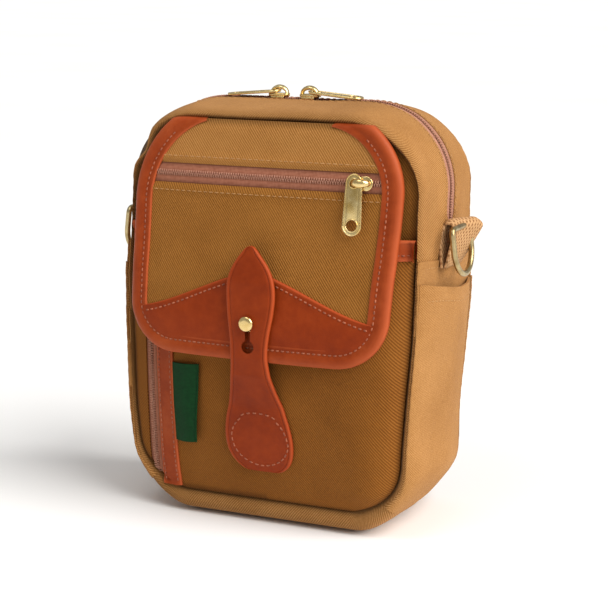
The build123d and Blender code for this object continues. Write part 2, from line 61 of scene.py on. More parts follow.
body_low, body_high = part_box("lower_gusset")
panel_low, panel_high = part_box("front_panel")
flap_low, flap_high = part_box("flap_canvas")
facing_low, facing_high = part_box("pocket_zip_facing")
label_low, label_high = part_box("side_label")
head_low, head_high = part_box("stud_head")
flap_tape_low, flap_tape_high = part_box("flap_zip_tape")
pocket_tape_low, pocket_tape_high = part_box("pocket_zip_tape")
ring_low, ring_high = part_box("d_ring_right")
loop_low, loop_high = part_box("webbing_loop_right")

HALF_W = body_high.x
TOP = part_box("gusset_front_arch")[1].z
R_TOP = 0.041
R_BASE = 0.036
SEAM_HALF_W = panel_high.x
SEAM_TOP = panel_high.z
SEAM_BASE = panel_low.z
SPLIT_Z = body_high.z
SEAM_LIFT = 0.0030
CLOTH = 0.0011
LEATHER = 0.0013

POCKET_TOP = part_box("front_pocket_panel")[1].z
POCKET_RISE = 0.0130
POCKET_ZIP_X = (pocket_tape_low.x + pocket_tape_high.x) / 2

FLAP_HALF_W = flap_high.x
FLAP_BASE = flap_low.z
FLAP_ZIP_Z = (flap_tape_low.z + flap_tape_high.z) / 2
FLAP_R_BASE = 0.025
FLAP_SEAM_TOP = 0.1975

STRAP_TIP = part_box("closure_strap")[1].z
PAD_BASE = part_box("closure_strap_pad")[0].z
STUD_Z = (head_low.z + head_high.z) / 2
SIDE_Y = (ring_low.y + ring_high.y) / 2


# ---------------------------------------------------------------- shape helpers

def lerp(a, b, t):
    return a + (b - a) * t


def ease(t):
    t = min(1.0, max(0.0, t))
    return t * t * (3 - 2 * t)


def arc(cx, cy, r, a0, a1, count):
    """Points round part of a circle, from angle a0 to a1 in degrees."""
    angles = np.radians(np.linspace(a0, a1, count))
    return [(cx + r * math.cos(a), cy + r * math.sin(a)) for a in angles]


def look_up(table, at):
    """The value at a place in a table of (place, value) pairs."""
    places, values = zip(*table)
    return np.interp(at, places, values)


def smooth_line(points, count):
    """A Catmull-Rom line through points, resampled evenly to count points."""
    p = np.array(points, float)
    ends = np.vstack([2 * p[0] - p[1], p, 2 * p[-1] - p[-2]])
    fine = []
    for i in range(1, len(ends) - 2):
        for t in np.linspace(0, 1, 24, endpoint=False):
            a, b, c, d = ends[i - 1], ends[i], ends[i + 1], ends[i + 2]
            square, cube = 2 * a - 5 * b + 4 * c - d, 3 * b - a - 3 * c + d
            fine.append(0.5 * (2 * b + (c - a) * t + square * t**2 + cube * t**3))
    fine.append(p[-1])
    return even(np.array(fine), count)


def run_along(points):
    """How far along a polyline each of its points is."""
    return np.concatenate([[0], np.cumsum(np.linalg.norm(np.diff(points, axis=0), axis=1))])


def even(points, count):
    """A polyline resampled to count evenly spaced points."""
    p = np.asarray(points, float)
    run = run_along(p)
    at = np.linspace(0, run[-1], count)
    return np.stack([np.interp(at, run, p[:, k]) for k in range(p.shape[1])], axis=1)


def rounded_outline(half_w, base, top, r_base, r_top, step):
    """Points (x, z) and outward normals of a rounded rectangle, anticlockwise from the middle of its base."""
    corners = [
        ((half_w - r_base, base + r_base), r_base, -90),
        ((half_w - r_top, top - r_top), r_top, 0),
        ((-half_w + r_top, top - r_top), r_top, 90),
        ((-half_w + r_base, base + r_base), r_base, 180),
    ]
    points, normals = [], []
    last = np.array([0.0, base])
    for (cx, cz), r, start in corners:
        a0 = math.radians(start)
        entry = np.array([cx + r * math.cos(a0), cz + r * math.sin(a0)])
        run = np.linalg.norm(entry - last)
        for t in np.linspace(0, 1, max(2, round(run / step)), endpoint=False):
            points.append(lerp(last, entry, t))
            normals.append((math.cos(a0), math.sin(a0)))
        for t in np.linspace(0, 1, max(8, round(r * math.pi / 2 / step)), endpoint=False):
            a = a0 + t * math.pi / 2
            points.append(np.array([cx + r * math.cos(a), cz + r * math.sin(a)]))
            normals.append((math.cos(a), math.sin(a)))
        a1 = a0 + math.pi / 2
        last = np.array([cx + r * math.cos(a1), cz + r * math.sin(a1)])
    run = np.linalg.norm(np.array([0.0, base]) - last)
    for t in np.linspace(0, 1, max(2, round(run / step)), endpoint=False):
        points.append(lerp(last, np.array([0.0, base]), t))
        normals.append((0.0, -1.0))
    return np.array(points), np.array(normals)


def half_width(z, half_w, base, top, r_base, r_top):
    """Half of a rounded rectangle's width at height z."""
    if z < base + r_base:
        d = min(r_base, base + r_base - z)
        return half_w - r_base + math.sqrt(max(0.0, r_base**2 - d**2))
    if z > top - r_top:
        d = min(r_top, z - top + r_top)
        return half_w - r_top + math.sqrt(max(0.0, r_top**2 - d**2))
    return half_w


def wobble(x, y, z, size, seed=0.0):
    """Smooth noise about 0, for cloth that isn't quite even."""
    return noise.noise(Vector((x / size + seed, y / size - seed, z / size + 2 * seed)))


# ---------------------------------------------------------------- mesh helpers

def smooth_faces(mesh):
    mesh.polygons.foreach_set("use_smooth", [True] * len(mesh.polygons))


def new_object(name, mesh, material):
    obj = bpy.data.objects.new(name, mesh)
    bpy.context.scene.collection.objects.link(obj)
    if material is not None:
        mesh.materials.append(material)
    return obj


def grid_object(name, grid, material, uv=None, closed=False, shade=None):
    """A smooth mesh over a grid of points. uv holds a place in the cloth, in metres, for each point."""
    grid = np.asarray(grid, float)
    rows, columns = grid.shape[:2]
    faces = []
    for i in range(rows if closed else rows - 1):
        i2 = (i + 1) % rows
        for j in range(columns - 1):
            faces.append((i * columns + j, i2 * columns + j, i2 * columns + j + 1, i * columns + j + 1))
    mesh = bpy.data.meshes.new(name)
    mesh.from_pydata(grid.reshape(-1, 3).tolist(), [], faces)
    if uv is None:
        along = run_along(grid[:, columns // 2])
        across = np.concatenate(
            [np.zeros((rows, 1)), np.cumsum(np.linalg.norm(np.diff(grid, axis=1), axis=2), axis=1)], axis=1
        )
        uv = np.stack([np.repeat(along[:, None], columns, axis=1), across], axis=2)
    flat = np.asarray(uv, float).reshape(-1, 2)
    layer = mesh.uv_layers.new(name="cloth")
    loops = np.zeros(len(mesh.loops), np.int32)
    mesh.loops.foreach_get("vertex_index", loops)
    layer.data.foreach_set("uv", flat[loops].astype(np.float32).ravel())
    if shade is not None:
        attribute = mesh.attributes.new("shade", "FLOAT", "POINT")
        attribute.data.foreach_set("value", np.asarray(shade, np.float32).ravel())
    smooth_faces(mesh)
    mesh.update()
    face_outwards(mesh)
    return new_object(name, mesh, material)


def face_outwards(mesh, centre=(0.0, 0.0, 0.1)):
    """Turns a sheet's faces away from the middle of the bag."""
    mesh.calc_loop_triangles()
    count = len(mesh.polygons)
    normals, middles, areas = np.zeros(count * 3), np.zeros(count * 3), np.zeros(count)
    mesh.polygons.foreach_get("normal", normals)
    mesh.polygons.foreach_get("center", middles)
    mesh.polygons.foreach_get("area", areas)
    away = middles.reshape(-1, 3) - np.array(centre)
    if ((normals.reshape(-1, 3) * away).sum(axis=1) * areas).sum() < 0:
        mesh.flip_normals()


def apply_modifiers(obj):
    """Replaces the object's mesh with what its modifiers make of it."""
    bpy.context.view_layer.update()
    shown = obj.evaluated_get(bpy.context.evaluated_depsgraph_get())
    mesh = bpy.data.meshes.new_from_object(shown)
    old = obj.data
    obj.modifiers.clear()
    obj.data = mesh
    bpy.data.meshes.remove(old)
    return obj


def thicken(obj, thickness):
    """Gives a sheet its thickness, behind its surface."""
    solidify = obj.modifiers.new("thickness", "SOLIDIFY")
    solidify.thickness = thickness
    solidify.offset = -1.0
    solidify.use_even_offset = False
    apply_modifiers(obj)
    obj.data.set_sharp_from_angle(angle=math.radians(50))
    return obj


def join(name, objects):
    """Joins objects of one body into one piece."""
    first = objects[0]
    with bpy.context.temp_override(
        active_object=first, object=first, selected_objects=objects, selected_editable_objects=objects
    ):
        bpy.ops.object.join()
    first.name = name
    first.data.name = name
    return first


def soft_box(name, size, radius, material, segments=3):
    """A box with rounded edges about the origin."""
    bm = bmesh.new()
    bmesh.ops.create_cube(bm, size=1.0)
    bmesh.ops.scale(bm, vec=Vector(size), verts=bm.verts)
    bmesh.ops.bevel(bm, geom=bm.edges[:], offset=radius, segments=segments, affect="EDGES", profile=0.5)
    mesh = bpy.data.meshes.new(name)
    bm.to_mesh(mesh)
    bm.free()
    smooth_faces(mesh)
    return new_object(name, mesh, material)


def curve_mesh(name, curve):
    """The mesh that a curve makes."""
    holder = bpy.data.objects.new(name, curve)
    bpy.context.scene.collection.objects.link(holder)
    bpy.context.view_layer.update()
    mesh = bpy.data.meshes.new_from_object(holder.evaluated_get(bpy.context.evaluated_depsgraph_get()))
    bpy.data.objects.remove(holder)
    mesh.materials.clear()
    return mesh


def plate(name, outlines, thickness, rounding, material):
    """A flat plate with rounded rims in local XY, from closed outlines; the inner ones are holes."""
    curve = bpy.data.curves.new(name, "CURVE")
    curve.dimensions = "2D"
    curve.fill_mode = "BOTH"
    curve.extrude = thickness / 2 - rounding
    curve.bevel_depth = rounding
    curve.bevel_resolution = 2
    curve.offset = -rounding
    for outline in outlines:
        spline = curve.splines.new("POLY")
        spline.points.add(len(outline) - 1)
        for point, (x, y) in zip(spline.points, outline):
            point.co = (x, y, 0, 1)
        spline.use_cyclic_u = True
    mesh = curve_mesh(name, curve)
    bm = bmesh.new()
    bm.from_mesh(mesh)
    bmesh.ops.remove_doubles(bm, verts=bm.verts, dist=1e-6)
    bm.to_mesh(mesh)
    bm.free()
    smooth_faces(mesh)
    mesh.set_sharp_from_angle(angle=math.radians(40))
    return new_object(name, mesh, material)


def tube(name, points, radius, material, closed=False, resolution=4, flatten=None):
    """A round bar through points; flatten gives its radius at each point."""
    curve = bpy.data.curves.new(name, "CURVE")
    curve.dimensions = "3D"
    curve.bevel_depth = radius
    curve.bevel_resolution = resolution
    curve.use_fill_caps = True
    spline = curve.splines.new("POLY")
    spline.points.add(len(points) - 1)
    for i, (point, co) in enumerate(zip(spline.points, points)):
        point.co = (*co, 1)
        point.radius = 1.0 if flatten is None else flatten[i]
    spline.use_cyclic_u = closed
    mesh = curve_mesh(name, curve)
    smooth_faces(mesh)
    return new_object(name, mesh, material)


# ---------------------------------------------------------------- materials

class Nodes:
    """Short calls for building a material's nodes."""

    def __init__(self, name):
        self.material = bpy.data.materials.new(name)
        self.material.use_nodes = True
        self.tree = self.material.node_tree
        self.shader = self.tree.nodes["Principled BSDF"]

    def add(self, kind, **settings):
        node = self.tree.nodes.new(kind)
        for key, value in settings.items():
            setattr(node, key, value)
        return node

    def link(self, source, target):
        self.tree.links.new(source, target)

    def value(self, target, source):
        if isinstance(source, (int, float)):
            target.default_value = source
        else:
            self.link(source, target)

    def math(self, operation, a, b=0.0, c=None):
        node = self.add("ShaderNodeMath", operation=operation)
        self.value(node.inputs[0], a)
        self.value(node.inputs[1], b)
        if c is not None:
            self.value(node.inputs[2], c)
        return node.outputs[0]

    def cloth_place(self):
        """The place in the cloth, in metres, as (along, across)."""
        node = self.add("ShaderNodeUVMap", uv_map="cloth")
        split = self.add("ShaderNodeSeparateXYZ")
        self.link(node.outputs[0], split.inputs[0])
        return split.outputs[0], split.outputs[1]

    def object_place(self):
        return self.add("ShaderNodeTexCoord").outputs["Object"]

    def noise(self, scale, detail=3.0, roughness=0.55):
        node = self.add("ShaderNodeTexNoise")
        node.inputs["Scale"].default_value = scale
        node.inputs["Detail"].default_value = detail
        node.inputs["Roughness"].default_value = roughness
        self.link(self.object_place(), node.inputs["Vector"])
        return node.outputs["Fac"]

    def wave(self, u, v, pitch_u, pitch_v):
        """A ridge pattern from 0 to 1 that repeats every pitch along each way that has one."""
        turns = [self.math("MULTIPLY", place, 2 * math.pi / pitch)
                 for place, pitch in ((u, pitch_u), (v, pitch_v)) if pitch]
        total = turns[0] if len(turns) == 1 else self.math("ADD", *turns)
        return self.math("MULTIPLY_ADD", self.math("SINE", total), 0.5, 0.5)

    def ramp(self, fac, stops):
        node = self.add("ShaderNodeValToRGB")
        self.link(fac, node.inputs[0])
        while len(node.color_ramp.elements) < len(stops):
            node.color_ramp.elements.new(0.5)
        for element, (at, colour) in zip(node.color_ramp.elements, stops):
            element.position = at
            element.color = (*colour, 1)
        return node.outputs["Color"]

    def mix(self, fac, a, b):
        node = self.add("ShaderNodeMix", data_type="RGBA")
        self.value(node.inputs["Factor"], fac)
        for key, source in (("A", a), ("B", b)):
            socket = [s for s in node.inputs if s.name == key and s.type == "RGBA"][0]
            if isinstance(source, tuple):
                socket.default_value = (*source, 1)
            else:
                self.link(source, socket)
        return [s for s in node.outputs if s.type == "RGBA"][0]

    def shade(self):
        # Painted light and shade on each point: it darkens cloth and tape and lightens leather.
        node = self.add("ShaderNodeAttribute", attribute_name="shade")
        return node.outputs["Fac"]

    def bump(self, height, distance, strength=1.0, under=None):
        node = self.add("ShaderNodeBump")
        node.inputs["Strength"].default_value = strength
        node.inputs["Distance"].default_value = distance
        self.link(height, node.inputs["Height"])
        if under is not None:
            self.link(under, node.inputs["Normal"])
        return node.outputs["Normal"]

    def finish(self, colour, roughness, normal=None, **sockets):
        self.link(colour, self.shader.inputs["Base Color"])
        self.value(self.shader.inputs["Roughness"], roughness)
        if normal is not None:
            self.link(normal, self.shader.inputs["Normal"])
        for key, value in sockets.items():
            self.shader.inputs[key.replace("_", " ")].default_value = value
        return self.material


def srgb(r, g, b):
    """A colour given as screen values from 0 to 255, as the shader's linear values."""
    def linear(c):
        c /= 255
        return c / 12.92 if c <= 0.04045 else ((c + 0.055) / 1.055) ** 2.4
    return tuple(linear(c) for c in (r, g, b))


def twill_material(name, dark, middle, light, lean=1.0, pitch=0.00100):
    """Diagonal cotton twill: ridges of warp with the weft showing between them."""
    n = Nodes(name)
    u, v = n.cloth_place()
    drift = n.math("MULTIPLY", n.noise(90, 2), 0.0009)
    u2 = n.math("ADD", u, drift)
    ridge = n.wave(u2, v, pitch * 1.3, lean * pitch * 1.75)
    yarn = n.wave(u2, v, None, pitch * 0.62)
    fleck = n.noise(1500, 2, 0.6)
    broad = n.noise(22, 4, 0.6)
    crossing = n.math("MULTIPLY", n.math("MULTIPLY", yarn, ridge), 0.3)
    height = n.math("ADD", n.math("MULTIPLY", ridge, 0.7), crossing)
    tone = n.math("ADD", n.math("MULTIPLY", height, 0.36), n.math("MULTIPLY", fleck, 0.32))
    tone = n.math("ADD", tone, n.math("MULTIPLY", broad, 0.30))
    colour = n.ramp(tone, [(0.20, dark), (0.50, middle), (0.82, light)])
    # The shade attribute darkens the cloth into seams, valleys and the zip's opening: painted shade.
    painted_shade = n.mix(n.math("MULTIPLY", n.shade(), 0.75), colour, tuple(c * 0.32 for c in dark))
    roughness = n.math("MULTIPLY_ADD", fleck, 0.18, 0.74)
    cloth_bump = n.bump(height, 0.00022, 0.75)
    normal = n.bump(n.noise(160, 3), 0.0005, 0.35, cloth_bump)
    return n.finish(
        painted_shade, roughness, normal, Sheen_Weight=0.03, Sheen_Roughness=0.5, Specular_IOR_Level=0.08
    )


def leather_material(name, dark, middle, light, rough=0.42):
    """Smooth bridle leather: fine pores and faint creases, with a painted highlight that lightens its edges.
    """
    n = Nodes(name)
    place = n.object_place()
    cloud = n.noise(38, 5, 0.62)
    mottle = n.noise(210, 3, 0.6)
    tone = n.math("ADD", n.math("MULTIPLY", cloud, 0.62), n.math("MULTIPLY", mottle, 0.38))
    colour = n.ramp(tone, [(0.30, dark), (0.52, middle), (0.76, light)])
    # The shade attribute lightens the leather towards its rims: a painted highlight where light catches the
    # edges.
    edge = n.mix(n.math("MULTIPLY", n.shade(), 0.8), colour, tuple(min(1, c * 1.4 + 0.01) for c in light))
    pores = n.add("ShaderNodeTexVoronoi", feature="DISTANCE_TO_EDGE")
    pores.inputs["Scale"].default_value = 1700
    n.link(place, pores.inputs["Vector"])
    grain = n.math("MULTIPLY_ADD", n.math("MINIMUM", pores.outputs["Distance"], 0.12), 6.0, n.noise(900, 3))
    fine = n.bump(grain, 0.00006, 0.5)
    normal = n.bump(n.noise(70, 4), 0.0007, 0.3, fine)
    roughness = n.math("MULTIPLY_ADD", mottle, 0.22, rough - 0.1)
    return n.finish(edge, roughness, normal, Specular_IOR_Level=0.11)


def tape_material(name, dark, light):
    """Woven zip tape: fine lengthwise ribs."""
    n = Nodes(name)
    u, v = n.cloth_place()
    rib = n.wave(u, v, None, 0.0006)
    cross = n.wave(u, v, 0.0007, None)
    weave = n.math("ADD", n.math("MULTIPLY", rib, 0.6), n.math("MULTIPLY", cross, 0.4))
    tone = n.math("ADD", n.math("MULTIPLY", weave, 0.6), n.math("MULTIPLY", n.noise(500, 3), 0.4))
    colour = n.ramp(tone, [(0.2, dark), (0.8, light)])
    # The shade attribute darkens the tape where it runs under the canvas: painted shade.
    painted_shade = n.mix(n.math("MULTIPLY", n.shade(), 0.7), colour, tuple(c * 0.3 for c in dark))
    roughness = n.math("MULTIPLY_ADD", n.noise(700, 2), 0.2, 0.6)
    return n.finish(painted_shade, roughness, n.bump(weave, 0.00012, 0.6), Specular_IOR_Level=0.12)


def webbing_material(name, dark, light):
    """Chunky woven webbing: lengthwise cords crossed by picks."""
    n = Nodes(name)
    u, v = n.cloth_place()
    cord = n.wave(u, v, 0.0032, 0.0021)
    cross = n.wave(u, v, 0.0032, -0.0021)
    weave = n.math("MAXIMUM", cord, n.math("MULTIPLY", cross, 0.9))
    tone = n.math("ADD", n.math("MULTIPLY", weave, 0.6), n.math("MULTIPLY", n.noise(700, 3), 0.4))
    colour = n.ramp(tone, [(0.25, dark), (0.85, light)])
    roughness = n.math("MULTIPLY_ADD", n.noise(800, 2), 0.15, 0.75)
    return n.finish(colour, roughness, n.bump(weave, 0.0004, 0.8), Specular_IOR_Level=0.15)


def thread_material(name, dark, light):
    n = Nodes(name)
    tone = n.noise(900, 3)
    colour = n.ramp(tone, [(0.3, dark), (0.7, light)])
    roughness = n.math("MULTIPLY_ADD", tone, 0.2, 0.55)
    return n.finish(colour, roughness, n.bump(n.noise(3500, 2), 0.0001, 0.5))


def brass_material(name, base, tint, rough=0.22):
    """Polished brass with handling marks."""
    n = Nodes(name)
    cloud = n.noise(160, 4, 0.6)
    marks = n.noise(2600, 3, 0.7)
    colour = n.ramp(cloud, [(0.3, base), (0.7, tint)])
    handled = n.math("MULTIPLY_ADD", marks, 0.12, rough - 0.12)
    roughness = n.math("ADD", n.math("MULTIPLY", cloud, 0.16), handled)
    return n.finish(colour, roughness, n.bump(marks, 0.00003, 0.4), Metallic=1.0)


def lining_material(name, dark, light):
    n = Nodes(name)
    u, v = n.cloth_place()
    weave = n.math("MULTIPLY", n.wave(u, v, 0.0009, None), n.wave(u, v, None, 0.0009))
    tone = n.math("ADD", n.math("MULTIPLY", weave, 0.5), n.math("MULTIPLY", n.noise(60, 4), 0.5))
    colour = n.ramp(tone, [(0.2, dark), (0.7, light)])
    roughness = n.math("MULTIPLY_ADD", n.noise(900, 2), 0.12, 0.8)
    return n.finish(colour, roughness, n.bump(weave, 0.00015, 0.5))


CANVAS = twill_material("canvas_twill", srgb(96, 56, 15), srgb(143, 92, 36), srgb(174, 120, 60))
# A lighter copy of the canvas for the flap's top: painted light, where it turns up towards the lamps.
CANVAS_UPPER_LIT = twill_material("canvas_twill_upper_lit", srgb(114, 70, 24), srgb(164, 112, 56), srgb(196, 144, 86))
# A darker copy of the canvas for the front pocket: painted shade on the lower front.
CANVAS_POCKET_SHADED = twill_material("canvas_twill_pocket_shaded", srgb(84, 46, 10), srgb(128, 77, 25), srgb(156, 102, 45))
# A lighter copy of the canvas for the gusset and side pieces: painted light from the key lamp on the sides.
# Its twill leans the other way.
CANVAS_SIDE_LIT = twill_material(
    "canvas_twill_side_lit", srgb(108, 66, 25), srgb(168, 118, 64), srgb(212, 162, 106), lean=-1.0
)
LEATHER_RED = leather_material("leather_red_brown", srgb(116, 38, 7), srgb(132, 47, 10), srgb(146, 57, 16))
LEATHER_EDGE = leather_material("leather_binding", srgb(122, 44, 12), srgb(142, 57, 20), srgb(160, 74, 36))
TAPE = tape_material("zip_tape_weave", srgb(126, 70, 48), srgb(188, 126, 100))
COIL = tape_material("zip_coil_nylon", srgb(128, 78, 58), srgb(204, 152, 128))
WEBBING = webbing_material("webbing_weave", srgb(130, 88, 50), srgb(200, 156, 110))
THREAD_LEATHER = thread_material("thread_on_leather", srgb(104, 42, 20), srgb(176, 100, 66))
THREAD_CANVAS = thread_material("thread_on_canvas", srgb(140, 94, 42), srgb(190, 142, 86))
BRASS = brass_material("brass_polished", srgb(214, 180, 108), srgb(240, 218, 162))
BRASS_RING = brass_material("brass_ring_antique", srgb(140, 116, 74), srgb(204, 186, 140), rough=0.3)
LINING = lining_material("lining_cloth", srgb(70, 48, 26), srgb(120, 88, 54))
LABEL = tape_material("label_green_woven", srgb(4, 28, 10), srgb(15, 68, 30))


# ---------------------------------------------------------------- stitching

thread_runs = {}


def stitch(group, points, normals, length=0.0018, gap=0.0008, width=0.0008):
    """Keeps a row of stitches along a line of points on a surface, to be made with its group."""
    p = np.asarray(points, float)
    q = np.asarray(normals, float)
    run = run_along(p)
    count = max(1, int(run[-1] / (length + gap)))
    pitch = run[-1] / count
    for i in range(count):
        middle = (i + 0.5) * pitch
        ends = [middle - length / 2, middle + length / 2]
        a, b = [np.array([np.interp(e, run, p[:, k]) for k in range(3)]) for e in ends]
        up = np.array([np.interp(middle, run, q[:, k]) for k in range(3)])
        thread_runs.setdefault(group, []).append((a, b, up, width))


def cord_object(name, cords, material):
    """One mesh of short six-sided cords, each a list of rings: (centre, sideways, upwards, girth)."""
    verts, faces = [], []
    for rings in cords:
        first = len(verts)
        for centre, side, up, girth in rings:
            for k in range(6):
                angle = k * math.pi / 3
                verts.append(centre + side * girth * math.cos(angle) + up * (0.8 * girth * math.sin(angle)))
        last = len(verts) - 6
        for low in range(first, last, 6):
            for k in range(6):
                c = (k + 1) % 6
                faces.append((low + k, low + c, low + 6 + c, low + 6 + k))
        faces.append(tuple(first + k for k in reversed(range(6))))
        faces.append(tuple(last + k for k in range(6)))
    mesh = bpy.data.meshes.new(name)
    mesh.from_pydata([tuple(v) for v in verts], [], faces)
    smooth_faces(mesh)
    return new_object(name, mesh, material)


def make_stitches(group, material):
    """One mesh of every stitch in the group: each is a short rounded cord that dips at its ends."""
    cords = []
    for a, b, up, width in thread_runs[group]:
        along = (b - a) / max(1e-9, np.linalg.norm(b - a))
        up = up / max(1e-9, np.linalg.norm(up))
        side = np.cross(along, up)
        up = np.cross(side, along)
        middle, reach = (a + b) / 2, np.linalg.norm(b - a) / 2
        rings = []
        for s in (-1.0, -0.82, -0.4, 0.4, 0.82, 1.0):
            girth = width / 2 * math.sqrt(max(0.06, 1 - abs(s) ** 5))
            lift = width * (0.16 - 0.5 * abs(s) ** 3)
            rings.append((middle + along * reach * s + up * lift, side, up, girth))
        cords.append(rings)
    return cord_object(group, cords, material)


class Skin:
    """Finds points on a finished surface, for what is sewn or laid on it."""

    def __init__(self, *objects):
        verts, faces = [], []
        for obj in objects:
            start = len(verts)
            verts += [tuple(obj.matrix_world @ v.co) for v in obj.data.vertices]
            faces += [tuple(start + i for i in f.vertices) for f in obj.data.polygons]
        self.tree = BVHTree.FromPolygons(verts, faces)

    def cast(self, origin, direction, lift=0.0):
        direction = Vector(direction)
        hit, normal, _, _ = self.tree.ray_cast(Vector(origin), direction)
        if hit is None:
            hit, normal, _, _ = self.tree.find_nearest(Vector(origin) + direction * 0.1)
        if normal.dot(direction) > 0:
            normal = -normal
        return np.array(hit + normal * lift), np.array(normal)

    def front(self, x, z, lift=0.0):
        return self.cast((x, -0.15, z), (0, 1, 0), lift)

    def back(self, x, z, lift=0.0):
        return self.cast((x, 0.15, z), (0, -1, 0), lift)

    def side(self, sign, y, z, lift=0.0):
        return self.cast((sign * 0.2, y, z), (-sign, 0, 0), lift)


SEAM_STITCH = {"width": 0.0005, "length": 0.0023}
ON_SURFACE = 0.00005


def sew(group, found, **sizes):
    """Stitches along a line of (point, normal) found on a surface."""
    stitch(group, [f[0] for f in found], [f[1] for f in found], **sizes)


def sew_front(group, skin, line, lift=ON_SURFACE, **sizes):
    """Stitches along a line of (x, z) on the front of a surface."""
    sew(group, [skin.front(x, z, lift) for x, z in line], **sizes)


# ---------------------------------------------------------------- cloth under pressure

CLOTH_STEPS = 20


def inflate(obj, held, pressure, cap):
    """Blows a sheet outwards as cloth, held at its sewn edge. No point moves further than its cap."""
    group = obj.vertex_groups.new(name="sewn")
    for index, weight in enumerate(held):
        group.add([index], float(weight), "REPLACE")
    rest = np.array([v.co for v in obj.data.vertices], float)
    cloth = obj.modifiers.new("cloth", "CLOTH")
    cloth.settings.quality = 6
    cloth.settings.mass = 0.25
    cloth.settings.tension_stiffness = 18
    cloth.settings.compression_stiffness = 18
    cloth.settings.shear_stiffness = 8
    cloth.settings.bending_stiffness = 0.6
    cloth.settings.use_pressure = True
    cloth.settings.uniform_pressure_force = pressure
    cloth.settings.effector_weights.gravity = 0
    cloth.settings.vertex_group_mass = "sewn"
    cloth.collision_settings.use_collision = False
    cloth.point_cache.frame_start = 1
    cloth.point_cache.frame_end = CLOTH_STEPS
    scene = bpy.context.scene
    for step in range(1, CLOTH_STEPS + 1):
        scene.frame_set(step)
    shown = obj.evaluated_get(bpy.context.evaluated_depsgraph_get())
    moved = np.array([v.co for v in shown.data.vertices], float)
    obj.modifiers.clear()
    scene.frame_set(1)
    shift = moved - rest
    far = np.linalg.norm(shift, axis=1)
    cap = np.asarray(cap, float)
    share = np.where(far > 1e-9, cap * np.tanh(far / np.maximum(cap, 1e-6)) / np.maximum(far, 1e-9), 0.0)
    new = rest + shift * share[:, None]
    obj.data.vertices.foreach_set("co", new.astype(np.float32).ravel())
    obj.vertex_groups.clear()
    obj.data.update()


# ---------------------------------------------------------------- body: front and rear halves of the gusset

OUTLINE_STEP = 0.0021
OUTLINE, OUTLINE_N = rounded_outline(HALF_W, body_low.z, TOP, R_BASE, R_TOP, OUTLINE_STEP)
RUN = run_along(OUTLINE)

# Half the gusset's section from its seam to the middle: (share of the seam's inset, added inset, depth).
SECTION = [
    (1.00, 0.0022, 0.0322),
    (1.00, 0.0006, 0.0344),
    (0.90, 0.0000, 0.0364),
    (0.70, 0.0002, 0.0373),
    (0.48, 0.0003, 0.0358),
    (0.30, 0.0005, 0.0326),
    (0.16, 0.0007, 0.0280),
    (0.07, 0.0008, 0.0222),
    (0.02, 0.0007, 0.0160),
    (0.00, 0.0003, 0.0100),
    (0.00, 0.0000, 0.0050),
]

# How far the sewn seam and the bag's outside lie beyond their straight sides, by height: the filled bag is
# widest above its middle and narrows towards its base.
SHIFT_LEVELS = [0.012, 0.032, 0.051, 0.080, 0.118, 0.140, 0.165, 0.185, 0.195]
SEAM_SHIFT = {
    1: [-0.0050, -0.0048, -0.0031, -0.0010, 0.0013, 0.0020, 0.0026, 0.0022, 0.0010],
    -1: [-0.0036, -0.0012, 0.0008, 0.0016, 0.0018, 0.0004, -0.0018, -0.0014, 0.0],
}
SIDE_SHIFT = {
    1: [-0.0036, -0.0034, -0.0034, -0.0024, -0.0014, -0.0006, -0.0006, -0.0006, -0.0004],
    -1: [-0.0036, -0.0034, -0.0046, -0.0040, -0.0028, -0.0044, -0.0056, -0.0030, -0.0006],
}
REAR_ROUND = 0.0032
# Where a small dent in the cloth of the upper left corner is, as (x, z).
DENT = (-0.0700, 0.1855)
# Where the sewn seam sits in the section: (added inset, depth).
SEAM_ADDED, SEAM_DEPTH = 0.0006, 0.0344


def seam_inset(nx, nz):
    rise = TOP - SEAM_TOP if nz > 0 else SEAM_BASE + SEAM_LIFT - body_low.z
    return (HALF_W - SEAM_HALF_W) * nx * nx + rise * nz * nz


def zip_gap(z):
    """Half the width of the zip's opening at height z."""
    return 0.0048 * ease((z - SPLIT_Z + 0.002) / 0.008)


def gusset_point(i, share, added, depth, sign):
    """A point on the gusset's outside at outline point i; sign is -1 for the front half, 1 for the rear."""
    (x, z), (nx, nz) = OUTLINE[i], OUTLINE_N[i]
    base = max(0.0, -nz)
    inset = share ** (1 + 0.8 * base) * seam_inset(nx, nz)
    if sign > 0:
        inset += REAR_ROUND * (depth / 0.0375) ** 2 * (1 - base) * (1 - share)
    bulge = added
    if added < 0:
        bulge = added * (1 if nz > -0.05 else max(0.0, 1 + nz * 1.4))
        if nz < -0.1:
            bulge = max(bulge, -(0.0012 * max(0.0, 1 + nz)))
    inset += bulge
    y = sign * depth
    soft = 0.00075 * wobble(x, y, z, 0.045, 3.1) + 0.00035 * wobble(x, y, z, 0.016, 7.7)
    near_seam = max(0.0, 1 - abs(depth - 0.0385) / 0.004)
    pucker = 0.00016 * math.sin(RUN[i] * 2 * math.pi / 0.0062) * near_seam
    floor_fade = 1 - max(0.0, -nz) ** 2
    inset -= (soft * floor_fade + pucker)
    side = 1 if x > 0 else -1
    at_side = np.interp(z, SHIFT_LEVELS, SIDE_SHIFT[side])
    at_seam = np.interp(z, SHIFT_LEVELS, SEAM_SHIFT[side])
    x += side * lerp(at_side, at_seam, share) * ease(abs(nx) / 0.6)
    if sign < 0:
        from_x, from_z = 0.7 * (x - DENT[0]), 0.7 * (z - DENT[1])
        along, over = from_x + from_z, from_x - from_z
        dent = math.exp(-along**2 / 0.00010 - over**2 / 0.000022) * ease((depth - 0.012) / 0.02)
        lip = math.exp(-along**2 / 0.00014 - (over - 0.008) ** 2 / 0.00005)
        inset += 0.0040 * dent - 0.0012 * lip
    return np.array([x - nx * inset, y, max(body_low.z, z - nz * inset)])


